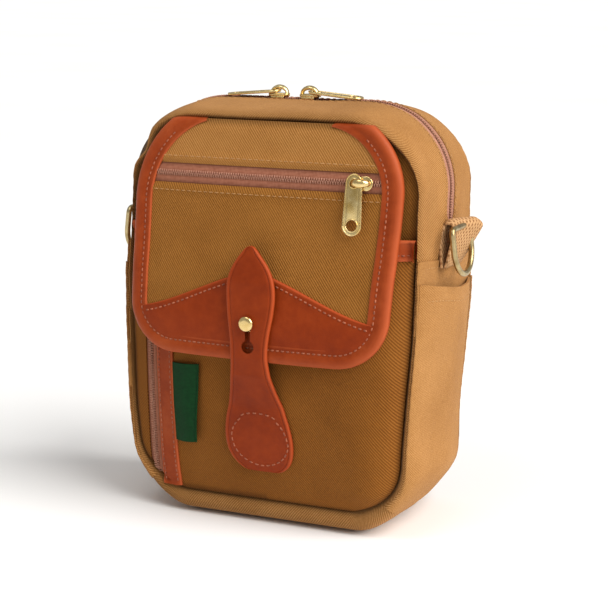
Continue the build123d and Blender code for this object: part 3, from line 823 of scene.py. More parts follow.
def gusset_half(sign, name, material):
    """One half of the gusset, from its panel's seam to the middle, with its cloth turned in along the zip."""
    line = smooth_line(SECTION, 26)
    grid, uv, shade = [], [], []
    for i in range(len(OUTLINE)):
        gap = zip_gap(OUTLINE[i][1])
        row, row_shade = [], []
        for share, added, depth in line:
            row.append(gusset_point(i, share, added, depth, sign))
            # Painted shade: darker in the seam's valley, near the seam on the front half, and on the cloth
            # turned into the zip's opening.
            valley = math.exp(-((depth - 0.0345) ** 2) / 0.0000045) if share > 0.8 else 0.0
            turned = 0.42 * math.exp(-((depth - 0.0390) ** 2) / 0.000022) * (sign < 0)
            row_shade.append(max(valley, turned))
        low, high = line[-1][2], gap
        for t in (0.35, 0.7, 0.92, 1.0):
            row.append(gusset_point(i, 0, line[-1][1], lerp(low, high + 0.0002, t), sign))
            row_shade.append(0.25 * (t > 0.9) * (gap > 0.001))
        for drop, back in ((0.0004, 0.0), (0.0009, 0.0003), (0.0012, 0.0022), (0.0014, 0.005)):
            row.append(gusset_point(i, 0, line[-1][1] + drop, high + back, sign))
            row_shade.append(0.8 * (gap > 0.001))
        grid.append(row)
        uv.append([(RUN[i], sign * a) for a in run_along(row)])
        shade.append(row_shade)
    # The outline is closed, so its first row is repeated with the full run as its place in the cloth.
    grid.append(grid[0])
    uv.append([(RUN[-1] + OUTLINE_STEP, v) for _, v in uv[0]])
    shade.append(shade[0])
    return grid_object(name, grid, material, uv, shade=shade)


gusset_front = gusset_half(-1, "gusset_front_canvas", CANVAS_SIDE_LIT)
gusset_rear = gusset_half(1, "gusset_rear_canvas", CANVAS_SIDE_LIT)

SEAM_LINE = np.array([gusset_point(i, 1.0, SEAM_ADDED, SEAM_DEPTH, -1) for i in range(len(OUTLINE))])
SEAM_FOOT = SEAM_LINE[:, 2].min()


def seam_x(side, z):
    """Where the front seam is at height z, on the right (side 1) or the left (side -1)."""
    half = SEAM_LINE[SEAM_LINE[:, 0] * side > 0.03]
    half = half[np.argsort(half[:, 2])]
    return np.interp(z, half[:, 2], half[:, 0])


def panel_disc(name, sign, y_edge, bulge, material, rings=26, seed=1.0):
    """A panel within the sewn seam, crowned by bulge, as rings that shrink towards its middle."""
    points = SEAM_LINE[:, [0, 2]]
    middle = np.array([0.0, (points[:, 1].max() + points[:, 1].min()) / 2])
    grid, uv, shade = [], [], []
    for x, z in points:
        row, row_shade = [], []
        for t in np.linspace(0, 1, rings):
            k = 1 - t ** 1.2
            px, pz = middle[0] + (x - middle[0]) * k, middle[1] + (z - middle[1]) * k
            out = y_edge + bulge * (1 - k ** 3) + 0.0008 * wobble(px, 0, pz, 0.05, seed) * (1 - k**8)
            row.append((px, sign * out, pz))
            # Painted shade towards the panel's sewn edge.
            row_shade.append(0.9 * ease((k - 0.955) / 0.045))
        grid.append(row)
        uv.append([(px, pz) for px, _, pz in row])
        shade.append(row_shade)
    return grid_object(name, grid, material, uv, closed=True, shade=shade)


PANEL_EDGE_Y = 0.0346
front_panel = panel_disc("front_panel_canvas", -1, PANEL_EDGE_Y, 0.0022, CANVAS, seed=2.2)
back_panel = panel_disc("back_panel_canvas", 1, PANEL_EDGE_Y, 0.0026, CANVAS, seed=5.2)
back_skin = Skin(back_panel)

# ---------------------------------------------------------------- lining


def lining_half(sign, name):
    """The inside of one half: its wall behind the gusset and its face behind the panel."""
    grid = []
    for i in range(0, len(OUTLINE), 2):
        gap = zip_gap(OUTLINE[i][1])
        row = [gusset_point(i, 0, 0.0046, d, sign) for d in (gap, 0.012, 0.022, 0.029)]
        (x, z), (nx, nz) = OUTLINE[i], OUTLINE_N[i]
        for inset, depth in ((0.0056, 0.0318), (0.0080, 0.0328)):
            row.append(np.array([x - nx * inset, sign * depth, z - nz * inset]))
        corner = row[-1]
        middle = np.array([0.0, sign * 0.0330, TOP / 2])
        for t in (0.25, 0.5, 0.75, 0.999):
            row.append(lerp(corner, middle, t))
        grid.append(row)
    return grid_object(name, grid, LINING, closed=True)


lining_front = lining_half(-1, "lining_front_cloth")
lining_rear = lining_half(1, "lining_rear_cloth")

board_low, board_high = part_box("base_board")
base_pad = soft_box(
    "base_board_cover",
    (board_high.x - board_low.x, board_high.y - board_low.y, board_high.z - board_low.z),
    0.0008,
    LINING,
)
base_pad.location = (board_low + board_high) / 2

# ---------------------------------------------------------------- main zip


def zip_rows():
    """The outline points along the main zip, from its right end over the top to its left end."""
    return [i for i in range(len(OUTLINE)) if OUTLINE[i][1] > SPLIT_Z - 0.001]


def outline_normals(rows):
    """The directions out of the bag at outline points."""
    return [(OUTLINE_N[i][0], 0, OUTLINE_N[i][1]) for i in rows]


def main_tape(sign, name):
    grid, shade = [], []
    for i in zip_rows():
        row = [gusset_point(i, 0, 0.0004, d, sign) for d in (0.0062, 0.0044, 0.0030, 0.0016, 0.0007)]
        row += [gusset_point(i, 0, 0.0013, d, sign) for d in (0.0006, 0.0030, 0.0062)]
        grid.append(row)
        # Painted shade on the tape next to the canvas lip.
        shade.append([0.8, 0.4, 0.1, 0, 0, 0, 0, 0])
    return grid_object(name, grid, COIL, shade=shade)


COIL_PITCH = 0.00125
COIL_REACH = 0.00105
COIL_RISE = 0.0011
COIL_GIRTH = 0.00036
# One loop of a coil, as shares of its reach and its rise.
COIL_LOOP = ((-0.35, 0.0), (-0.2, 0.34), (0.45, 0.50), (0.95, 0.36), (1.15, 0.0), (0.95, -0.3))


def coil(name, path, normals, side, skip):
    """One side of a nylon coil: a row of short loops that reach across the zip's middle."""
    p, q, s = (np.asarray(a, float) for a in (path, normals, side))
    run = run_along(p)
    cords = []
    at = skip * COIL_PITCH
    while at < run[-1]:
        here, up, across = [np.array([np.interp(at, run, a[:, k]) for k in range(3)]) for a in (p, q, s)]
        up, across = up / np.linalg.norm(up), across / np.linalg.norm(across)
        along = np.cross(across, up)
        rings = []
        for t, h in COIL_LOOP:
            girth = COIL_GIRTH * (1.25 if t > 0.9 else 1.0)
            rings.append((here + across * COIL_REACH * t + up * (h * COIL_RISE), along, up, girth))
        cords.append(rings)
        at += COIL_PITCH
    row = cord_object(name, cords, COIL)
    row.data.uv_layers.new(name="cloth")
    return row


def coil_pair(name, path, normals, out):
    """Both sides of a coil along a zip's middle line; out points from the middle to the second side."""
    pair = []
    for sign in (-1, 1):
        outward = sign * np.array(out, float)
        beside = np.asarray(path, float) + outward * COIL_REACH
        pair.append(coil(f"{name}_{sign}", beside, normals, [-outward] * len(path), 0.0 if sign < 0 else 0.5))
    return pair


def main_coil(sign, name):
    rows = zip_rows()
    path = [gusset_point(i, 0, 0.0002, COIL_REACH, sign) for i in rows]
    return coil(name, path, outline_normals(rows), [(0, -sign, 0)] * len(rows), 0.0 if sign < 0 else 0.5)


zip_front = join("main_zip_front", [main_tape(-1, "tape_front"), main_coil(-1, "coil_front")])
zip_rear = join("main_zip_rear", [main_tape(1, "tape_rear"), main_coil(1, "coil_rear")])


ZIP_SEAM_DEPTH = 0.0064


def gusset_seam(sign, group):
    """Stitches along the gusset beside the main zip, over its length."""
    rows = [i for i in range(len(OUTLINE)) if OUTLINE[i][1] > SPLIT_Z]
    points = [gusset_point(i, 0, 0.0, ZIP_SEAM_DEPTH, sign) for i in rows]
    stitch(group, points, outline_normals(rows), width=0.0005, length=0.0024)


gusset_seam(-1, "stitches_gusset_front")
gusset_seam(1, "stitches_gusset_rear")

# ---------------------------------------------------------------- front pocket

POCKET_PROFILE = [(0.012, 0.0), (0.022, 0.36), (0.038, 0.66), (0.060, 0.89), (0.085, 1.0), (0.105, 0.95),
                  (0.124, 0.78), (0.147, 0.40)]


def pocket_depth(x, z):
    """How far the pocket's face stands in front of Y = 0."""
    rise = look_up(POCKET_PROFILE, z)
    share = min(1.0, abs(x / seam_x(1 if x > 0 else -1, z)))
    crown = 1 - share ** (2.4 if x < 0 else 12.0)
    tuck = (0.0018 if x < 0 else 0.0006) * ease((share - 0.978) / 0.022)
    loose = 0.0009 * wobble(x, 0, z, 0.038, 4.4) + 0.0004 * wobble(x, 0, z, 0.014, 9.1)
    slack = 0.0016 * math.exp(-((x - 0.045 + (z - 0.06) * 0.25) ** 2) / 0.00016) * ease((0.1 - z) / 0.06)
    return 0.0366 - tuck + POCKET_RISE * crown * rise + (loose + slack) * crown * min(1.0, rise * 3)


POCKET_LEVELS = np.linspace(SEAM_FOOT + 0.0001, POCKET_TOP - 0.001, 84)


def pocket_sheet(name, x_from, x_to, columns, held_side):
    """Part of the pocket's canvas between two lines, each a function of height."""
    grid, uv, shade, held, cap = [], [], [], [], []
    for z in POCKET_LEVELS:
        row, row_shade = [], []
        a, b = x_from(z), x_to(z)
        for t in np.linspace(0, 1, columns):
            x = lerp(a, b, t)
            row.append((x, -pocket_depth(x, z), z))
            rim = min(abs(seam_x(1 if x > 0 else -1, z)) - abs(x), z - SEAM_FOOT)
            # Painted shade along the seam and the pocket's foot, wider on the left.
            row_shade.append((0.85 if x < 0 else 0.6) * (1 - ease(rim / (0.0040 if x < 0 else 0.0022))))
            near = min(rim, abs(x - POCKET_ZIP_X) - 0.004 if held_side else 1.0)
            held.append(1.0 if near < 0.003 or (held_side and t < 0.02) or z > POCKET_TOP - 0.006 else 0.0)
            cap.append(0.0018 * ease((near - 0.002) / 0.03) * ease((POCKET_TOP - z) / 0.03))
        grid.append(row)
        uv.append([(x, z) for x, _, z in row])
        shade.append(row_shade)
    sheet = grid_object(name, grid, CANVAS_POCKET_SHADED, uv, shade=shade)
    if held_side:
        inflate(sheet, held, 3.0, cap)
    return sheet


ZIP_HALF = 0.0036
pocket_main = pocket_sheet(
    "front_pocket_canvas",
    lambda z: max(POCKET_ZIP_X + ZIP_HALF, seam_x(-1, z)),
    lambda z: seam_x(1, z),
    78,
    True,
)
pocket_left = pocket_sheet(
    "front_pocket_left_canvas",
    lambda z: seam_x(-1, z),
    lambda z: max(POCKET_ZIP_X - ZIP_HALF, seam_x(-1, z) + 0.0004),
    10,
    False,
)
pocket_skin = Skin(pocket_main, pocket_left)
thicken(pocket_main, CLOTH)
thicken(pocket_left, CLOTH)


def under_seam(point):
    """Turns what would lie above the flap's top seam back into it, behind the roll."""
    x, y, z = point
    over = max(0.0, z - FLAP_SEAM_TOP + 0.0002)
    return (x, y + min(1.4 * over, 0.0050), z - 0.8 * over)


def ribbon(name, line, section, material, surface, side=None, closed=False, shade=None):
    """A strip laid along a line of (x, z) on the front: section holds (offset to its left, lift) pairs.

    surface gives the depth at (x, z). side, if given, is the left-hand direction at each point.
    """
    line = np.asarray(line, float)
    if side is None:
        ahead = np.roll(line, -1, axis=0) - np.roll(line, 1, axis=0) if closed else np.gradient(line, axis=0)
        ahead /= np.linalg.norm(ahead, axis=1)[:, None]
        side = np.stack([-ahead[:, 1], ahead[:, 0]], axis=1)
    grid, uv = [], []
    for (x, z), (sx, sz), along in zip(line, side, run_along(line)):
        row = []
        for offset, lift in section:
            px, pz = x + sx * offset, z + sz * offset
            row.append(under_seam((px, -surface(px, pz) - lift, pz)))
        grid.append(row)
        uv.append([(along, offset) for offset, _ in section])
    if shade is not None:
        shade = [shade] * len(grid)
    return grid_object(name, grid, material, uv, closed=closed, shade=shade)


def strip_section(half_w, thick, under=0.0004):
    """A flat strip's section with rounded edges, from edge to edge over its face."""
    r = thick * 0.45
    right = [(half_w * 0.5, thick + 0.00005), (half_w - r, thick), (half_w - 0.3 * r, thick - 0.3 * r),
             (half_w, thick - r), (half_w, -under)]
    return [(-x, lift) for x, lift in reversed(right)] + [(0, thick + 0.0001)] + right


# Painted highlight across a leather strip's section, lighter at its rims.
EDGE_HIGHLIGHT = [0.2, 0.7, 1.0, 0.35, 0, 0, 0, 0.35, 1.0, 0.7, 0.2]


def cast_depth(skin):
    """The depth of a finished front surface at (x, z)."""
    return lambda x, z: -skin.front(x, z)[0][1]


on_pocket = cast_depth(pocket_skin)

# The pocket's vertical zip, its leather strip with two rows of stitches, and the label folded under it.
zip_levels = np.linspace(pocket_tape_low.z - 0.004, pocket_tape_high.z - 0.002, 60)
tape_line = [(POCKET_ZIP_X, z) for z in zip_levels]
THREAD_INSET = 0.0016
tape_section = [(-0.0052, -0.0016), (-0.0036, -0.0008), (-0.0018, -0.0005), (0, -0.0004), (0.0018, -0.0005),
                (0.0036, -0.0008), (0.0052, -0.0016)]
# Painted shade on the tape's edges, where they run under the canvas.
pocket_tape = ribbon(
    "tape", tape_line, tape_section, TAPE, pocket_depth, shade=[1, 0.8, 0.1, 0, 0.1, 0.8, 1]
)
tilt = [np.array([-0.29, -0.957, 0.0])] * len(tape_line)
coil_path = [(x, -pocket_depth(x, z) + 0.0002, z) for x, z in tape_line]
pocket_zip = join("front_pocket_zip", [pocket_tape] + coil_pair("coil", coil_path, tilt, (1, 0, 0)))

facing_x = (facing_low.x + facing_high.x) / 2
facing_half = (facing_high.x - facing_low.x) / 2 + 0.0007
facing_line = [(facing_x + 0.0002 - 0.0008 * ease((0.092 - z) / 0.076) + 0.0004 * math.sin(z * 40), z)
               for z in np.linspace(SEAM_FOOT + 0.0012, facing_high.z, 64)]
pocket_facing = ribbon(
    "front_pocket_zip_facing", facing_line, strip_section(facing_half, LEATHER), LEATHER_EDGE, on_pocket,
    shade=EDGE_HIGHLIGHT,
)
facing_skin = Skin(pocket_facing)
for offset in (-facing_half + THREAD_INSET, facing_half - THREAD_INSET):
    sew_front("stitches_leather_pack", facing_skin, [(x + offset, z) for x, z in facing_line[1:-1]], 0.0001)

# Leather binding over the pocket's open top edge.
mouth_end = seam_x(1, POCKET_TOP - 0.004) + 0.0012
mouth_line = [(x, POCKET_TOP - 0.0046) for x in np.linspace(-0.0725, mouth_end, 70)]
mouth_section = [(-0.0050, -0.0003), (-0.0050, 0.0008), (-0.0047, 0.0012), (-0.0030, 0.0013), (0.0, 0.0014),
                 (0.0032, 0.0014), (0.0044, 0.0008), (0.0048, -0.0006), (0.0044, -0.0021), (0.0024, -0.0026),
                 (-0.0040, -0.0026)]
# Painted highlight on the binding's rims.
mouth_binding = ribbon(
    "front_pocket_binding", mouth_line, mouth_section, LEATHER_EDGE, on_pocket,
    shade=[0.2, 0.8, 0.8, 0.1, 0, 0.3, 1, 0.6, 0.2, 0, 0],
)
binding_skin = Skin(mouth_binding)
sew_front("stitches_leather_pack", binding_skin, [(x, z - 0.0022) for x, z in mouth_line[1:-1]], 0.0001)


def make_label():
    """A woven label folded double, from the strip's seam to its free edge, which lifts a little."""
    z0, z1 = label_low.z, label_high.z
    x0, x1 = facing_x - 0.0008 + facing_half, label_high.x + 0.0014
    grid, uv = [], []
    for z in np.linspace(z0, z1, 24):
        lift = 0.0012 + 0.0012 * ease((z1 - z) / (z1 - z0)) + 0.0004 * math.sin((z - z0) * 160)
        around = []
        for t in np.linspace(0, 1, 12):
            around.append((lerp(x0, x1, t), 0.0003 + lift * ease(t) + 0.0012 * math.sin(t * math.pi)))
        around += arc(x1, lift + 0.0009, 0.0006, -70, 70, 5)
        for t in np.linspace(1, 0, 12):
            around.append((lerp(x0, x1, t), 0.0008 + lift * ease(t) + 0.0017 * math.sin(t * math.pi)))
        row = []
        for x, out in around:
            reach = (x - x0) / (x1 - x0)
            lean = 0.0030 * ((z - z0) / (z1 - z0) - 0.6) * reach
            row.append((x + lean, -on_pocket(x + lean, z) - out, z + 0.0014 * reach))
        grid.append(row)
        uv.append([(z, wide) for wide in run_along(row)])
    label = grid_object("side_label_cloth", grid, LABEL, uv)
    return thicken(label, 0.0003)


side_label = make_label()

# ---------------------------------------------------------------- flap

FLAP_PROFILE = [(0.084, 0.0530), (0.104, 0.0528), (0.124, 0.0500), (0.1395, 0.0460), (0.193, 0.0384),
                (0.199, 0.0366)]
FLAP_EDGE_PROFILE = [(0.084, 0.0488), (0.105, 0.0486), (0.125, 0.0468), (0.150, 0.0430), (0.175, 0.0396),
                     (0.199, 0.0366)]
FLAP_CANVAS = 0.0020
# The flap's half width, top corner radius and the height its top corner reaches, on each side.
FLAP_SIDES = {1: (0.0698, 0.0400, 0.2060), -1: (0.0674, 0.0500, 0.2080)}


def flap_half_w(side, z, inset=0.0):
    """How far the flap reaches to one side at height z, less an inset."""
    wide, r_top, top = FLAP_SIDES[side]
    wide -= 0.0034 * ease((0.168 - z) / 0.070) * (side > 0)
    return half_width(
        z, wide - inset, FLAP_BASE + inset, top - 0.75 * inset, FLAP_R_BASE - inset * 0.8, r_top - inset * 0.9
    )


def flap_back_depth(x, z):
    """How far the flap's back stands in front of Y = 0."""
    middle = look_up(FLAP_PROFILE, z)
    edge = look_up(FLAP_EDGE_PROFILE, z)
    depth = lerp(middle, edge, min(1.0, (x / 0.068) ** 2))
    curl = 0.0016 * (abs(x) / 0.0675) ** 8
    return depth - curl + 0.0005 * wobble(x, 0.3, z, 0.045, 6.0) * ease((0.19 - z) / 0.03)


def flap_front_depth(x, z):
    return flap_back_depth(x, z) + FLAP_CANVAS


def flap_sheet(name, z_low, z_high, rows, material, inset=0.0035):
    """Part of the flap's canvas between two heights, inside the leather binding."""
    grid, uv, shade = [], [], []
    for z in np.linspace(z_low, z_high, rows):
        level = max(z, FLAP_BASE + inset + 0.0002)
        across = np.linspace(-flap_half_w(-1, level, inset), flap_half_w(1, level, inset), 64)
        roll = 0.0007 * (1 - ease(min(z_high - z, z - z_low) / 0.0022))
        near_zip = min(abs(z - FLAP_ZIP_Z - 0.0052), abs(z - FLAP_ZIP_Z + 0.0052))
        puff = 0.0006 * math.exp(-((near_zip - 0.0022) ** 2) / 0.000003)
        # Painted shade where the flap runs into its top seam.
        root = ease((z - FLAP_SEAM_TOP + 0.004) / 0.004)
        grid.append([(x, -flap_front_depth(x, z) - puff + roll, z) for x in across])
        uv.append([(x, z) for x in across])
        shade.append([0.8 * root] * len(across))
    return grid_object(name, grid, material, uv, shade=shade)


ZIP_WINDOW = 0.0047
flap_lower = flap_sheet("flap_lower", FLAP_BASE + 0.0036, FLAP_ZIP_Z - ZIP_WINDOW, 60, CANVAS)
flap_upper = flap_sheet("flap_upper", FLAP_ZIP_Z + ZIP_WINDOW, FLAP_SEAM_TOP, 26, CANVAS_UPPER_LIT)
flap_skin = Skin(flap_lower, flap_upper)
thicken(flap_lower, CLOTH)
thicken(flap_upper, CLOTH)

flap_tape_line = [(x, FLAP_ZIP_Z) for x in np.linspace(-0.0610, 0.0610, 80)]
flap_tape_section = [(-0.0068, -0.0012), (-0.0048, -0.0010), (-0.0025, -0.0006), (0, -0.0005),
                     (0.0025, -0.0006), (0.0048, -0.0010), (0.0068, -0.0012)]
# Painted shade on the tape's edges, under the canvas lips.
flap_tape = ribbon(
    "flap_tape", flap_tape_line, flap_tape_section, TAPE, flap_front_depth,
    shade=[1, 0.9, 0.15, 0, 0.15, 0.9, 1],
)
flap_coil_path = [(x, -flap_front_depth(x, z) + 0.0003, z) for x, z in flap_tape_line]
flap_up = [(0, -1, 0.14)] * len(flap_coil_path)
flap_zip = join("flap_zip", [flap_tape] + coil_pair("flap_coil", flap_coil_path, flap_up, (0, 0, 1)))
for side in (-1, 1):
    line = [(x, FLAP_ZIP_Z + side * (ZIP_WINDOW + 0.0034)) for x in np.linspace(-0.060, 0.060, 60)]
    sew_front("stitches_canvas_flap", flap_skin, line, 0.0001, width=0.0005, length=0.0022)


BINDING_TURN = 0.0080


def flap_edge_line(step=0.0022):
    """The flap's edge from its left end at the top seam, down and round, to its right end at the seam."""
    halves = {}
    for side in (-1, 1):
        crest = min(FLAP_SIDES[side][2] - 0.0002, FLAP_SEAM_TOP + BINDING_TURN)
        levels = crest - np.linspace(0, 1, 110) ** 1.7 * (crest - FLAP_BASE - FLAP_R_BASE)
        line = [(side * flap_half_w(side, z), z) for z in levels]
        wide = flap_half_w(side, FLAP_BASE + FLAP_R_BASE)
        corner = arc(wide - FLAP_R_BASE, FLAP_BASE + FLAP_R_BASE, FLAP_R_BASE, 0, -90, 30)
        line += [(side * x, z) for x, z in corner[1:]]
        halves[side] = line
    full = np.array(halves[-1] + halves[1][::-1])
    length = np.linalg.norm(np.diff(full, axis=0), axis=1).sum()
    return even(full, int(length / step))


edge_line = flap_edge_line()
# Offsets run inwards from the flap's edge: the leather wraps the edge and has a sewn valley.
binding_section = [(0.0085, -0.0022 - FLAP_CANVAS), (0.0012, -0.0016 - FLAP_CANVAS),
                   (0.0002, -0.0008 - FLAP_CANVAS), (-0.0002, -0.0012),
                   (0.0001, 0.0003), (0.0010, 0.0012), (0.0026, 0.0015), (0.0044, 0.0013), (0.0056, 0.0009),
                   (0.0064, 0.0007), (0.0074, 0.0009), (0.0086, 0.0010), (0.0093, 0.0008), (0.0095, 0.0003),
                   (0.0095, -0.0004)]
# Painted highlight along the binding's outer and inner edges.
flap_binding = ribbon(
    "flap_binding_leather", edge_line, binding_section, LEATHER_EDGE, flap_front_depth,
    shade=[0, 0, 0, 0.2, 0.7, 0.5, 0.15, 0, 0, 0, 0, 0.1, 0.7, 0.6, 0.2],
)
flap_binding_skin = Skin(flap_binding)
inner = [point for point in edge_line if point[1] < FLAP_SEAM_TOP - 0.001]
ahead = np.gradient(np.array(inner), axis=0)
ahead /= np.linalg.norm(ahead, axis=1)[:, None]
sewn = np.array(inner) + np.stack([-ahead[:, 1], ahead[:, 0]], axis=1) * 0.0065
sew_front("stitches_leather_flap", flap_binding_skin, sewn)


def peak_height(x):
    """The reinforcement's top edge: a low curve with its peak in the middle."""
    t = min(1.0, abs(x) / 0.060)
    return lerp(0.1285, 0.1075, 0.55 * t + 0.45 * ease(t))


def make_reinforcement():
    grid, uv = [], []
    steps = [0, 0.0, 0.012, 0.03, 0.06, 0.15, 0.3, 0.5, 0.7, 0.85, 1.0]
    lifts = [-0.0006, 0.0006, 0.0010, 0.0012, 0.0012, 0.0011, 0.0011, 0.0011, 0.0011, 0.0011, 0.0009]
    for x in np.linspace(-0.0595, 0.0595, 90):
        top = peak_height(x)
        inset = 0.0070
        w, r = FLAP_HALF_W - inset, FLAP_R_BASE - inset
        over = max(0.0, abs(x) - (w - r))
        base = FLAP_BASE + inset + r - math.sqrt(max(0.0, r * r - over * over))
        base = min(base, top - 0.004)
        levels = [lerp(top, base, t) for t in steps]
        grid.append([(x, -flap_front_depth(x, z) - lift, z) for z, lift in zip(levels, lifts)])
        uv.append([(x, z) for z in levels])
    # Painted highlight along the reinforcement's top edge.
    shade = [[0.2, 0.8, 1.0, 0.3, 0, 0, 0, 0, 0, 0, 0]] * len(grid)
    return grid_object("flap_reinforcement_leather", grid, LEATHER_RED, uv, shade=shade)


flap_reinforcement = make_reinforcement()
reinforcement_skin = Skin(flap_reinforcement)
sew_front(
    "stitches_leather_flap", reinforcement_skin,
    [(x, peak_height(x) - 0.0028) for x in np.linspace(-0.058, 0.058, 80)],
)


def make_flap_backing():
    grid, uv = [], []
    for z in np.linspace(FLAP_BASE + 0.0022, FLAP_SEAM_TOP - 0.001, 50):
        across = np.linspace(-flap_half_w(-1, z, 0.0020), flap_half_w(1, z, 0.0020), 40)
        grid.append([(x, -flap_back_depth(x, z) + 0.0002, z) for x in across])
        uv.append([(x, z) for x in across])
    return thicken(grid_object("flap_backing_cloth", grid, LINING, uv), 0.0006)


flap_backing = make_flap_backing()

# ---------------------------------------------------------------- closure strap

# Half widths up the strap: (height, half width, sideways drift).
STRAP_SHAPE = [
    (PAD_BASE, 0.0000, 0.0016), (0.0296, 0.0086, 0.0014), (0.0330, 0.0138, 0.0012), (0.0385, 0.0168, 0.0008),
    (0.0460, 0.0178, 0.0004), (0.0540, 0.0168, 0.0001), (0.0620, 0.0147, -0.0001), (0.0720, 0.0120, -0.0001),
    (0.0820, 0.0101, 0.0), (0.0910, 0.0096, 0.0), (0.1000, 0.0104, 0.0003), (0.1090, 0.0118, 0.0007),
    (0.1180, 0.0125, 0.0008), (0.1250, 0.0119, 0.0006), (0.1310, 0.0095, 0.0003), (0.1365, 0.0056, 0.0),
    (STRAP_TIP - 0.0008, 0.0022, 0.0), (STRAP_TIP, 0.0, 0.0),
]
STRAP_BACK = [(0.0510, 0.0475), (0.0623, 0.0490), (0.070, 0.0518), (0.079, 0.0552), (0.088, 0.0567),
              (0.105, 0.0569), (0.124, 0.0560), (0.141, 0.0536)]
STRAP_THICK = 0.0022


def strap_back_depth(x, z):
    """The strap's back face: on the pocket where it is sewn down, then out and over the flap."""
    free = look_up(STRAP_BACK, z)
    sewn_down = on_pocket(x, z) + 0.0001
    t = ease((z - 0.056) / 0.012)
    cup = 0.0004 * (x / 0.011) ** 2 * t
    return lerp(sewn_down, free, t) - cup


def make_strap():
    shape = smooth_line(STRAP_SHAPE, 150)
    insets = [0.0, 0.00025, 0.0007, 0.0013, 0.0018, 0.0021, 0.0024, 0.0030, 0.0042]
    drops = [0.0011, 0.0004, 0.00008, 0.0, 0.00006, 0.00028, 0.00006, 0.0, 0.0]
    # marks paint a highlight on the strap's rims and its crease line.
    marks = [0.3, 1.0, 0.9, 0.35, 0.1, 0.0, 0.1, 0.05, 0.0]
    grid, uv, shade = [], [], []
    for z, w, drift in shape:
        w = max(w, 0.00001)
        fit = min(1.0, w / 0.0050)
        row = []
        left = [(-w + i * fit, d, m) for i, d, m in zip(insets, drops, marks)]
        middle = [(x, 0.0, 0.0) for x in np.linspace(left[-1][0], -left[-1][0], 9)[1:-1]]
        right = [(-x, d, m) for x, d, m in reversed(left)]
        front = left + middle + right
        back = [(x, STRAP_THICK - 0.0003 * (abs(x) > w - 0.0005), 0.0) for x, _, _ in reversed(front[1:-1:2])]
        around = front + back + front[:1]
        for x, drop, _ in around:
            px = x + drift
            row.append((px, -strap_back_depth(px, z) - STRAP_THICK + drop, z))
        grid.append(row)
        uv.append([(px, z) for px, _, _ in row])
        shade.append([mark for _, _, mark in around])
    strap = grid_object("closure_strap_leather", grid, LEATHER_RED, uv, shade=shade)
    bm = bmesh.new()
    bm.from_mesh(strap.data)
    bmesh.ops.remove_doubles(bm, verts=bm.verts, dist=0.00002)
    bmesh.ops.recalc_face_normals(bm, faces=bm.faces)
    bm.to_mesh(strap.data)
    bm.free()
    return strap


def cut_keyhole(strap):
    """Cuts the round hole below the stud and the slit that leads up to it."""
    hole_z, hole_r = STUD_Z - 0.0114, 0.0031
    neck, top_r = 0.0012, 0.0019
    outline = arc(0, hole_z, hole_r, -244, 64, 30) + [(neck, hole_z + 0.0052)]
    outline += arc(0, STUD_Z, top_r, -20, 200, 14) + [(-neck, hole_z + 0.0052)]
    bm = bmesh.new()
    near = [bm.verts.new((x, -0.075, z)) for x, z in outline]
    far = [bm.verts.new((x, -0.045, z)) for x, z in outline]
    bm.faces.new(near)
    bm.faces.new(list(reversed(far)))
    for k in range(len(outline)):
        m = (k + 1) % len(outline)
        bm.faces.new((near[m], near[k], far[k], far[m]))
    bmesh.ops.recalc_face_normals(bm, faces=bm.faces)
    mesh = bpy.data.meshes.new("keyhole")
    bm.to_mesh(mesh)
    bm.free()
    cutter = new_object("keyhole", mesh, None)
    boolean = strap.modifiers.new("keyhole", "BOOLEAN")
    boolean.object = cutter
    boolean.operation = "DIFFERENCE"
    boolean.solver = "EXACT"
    apply_modifiers(strap)
    bpy.data.objects.remove(cutter)
    strap.data.set_sharp_from_angle(angle=math.radians(48))


closure_strap = make_strap()
strap_skin = Skin(closure_strap)
cut_keyhole(closure_strap)

# The pad's stitches: round its lower edge, and over in an arch.
pad_line = [(0.0010 + x * 0.98 + 0.0004 * (z < 0), 0.0456 + (z * 0.86 if z < 0 else z * 0.92))
            for x, z in arc(0, 0, 0.0150, -232, 52, 70)]
arch_line = [(0.0010 + 0.0093 * x, 0.0570 + 0.0026 * z) for x, z in arc(0, 0, 1, 0, 180, 16)]
sew_front("stitches_strap_pad", strap_skin, pad_line, length=0.0021)
sew_front("stitches_strap_pad", strap_skin, arch_line, length=0.0021)

# ---------------------------------------------------------------- side pockets, bands, loops


def side_rows(sign, z_low, z_high):
    """Outline points of one side between two heights, the highest first."""
    rows = [i for i in range(len(OUTLINE))
            if OUTLINE_N[i][0] * sign > 0.35 and z_low < OUTLINE[i][1] <= z_high]
    return sorted(rows, key=lambda i: -OUTLINE[i][1])


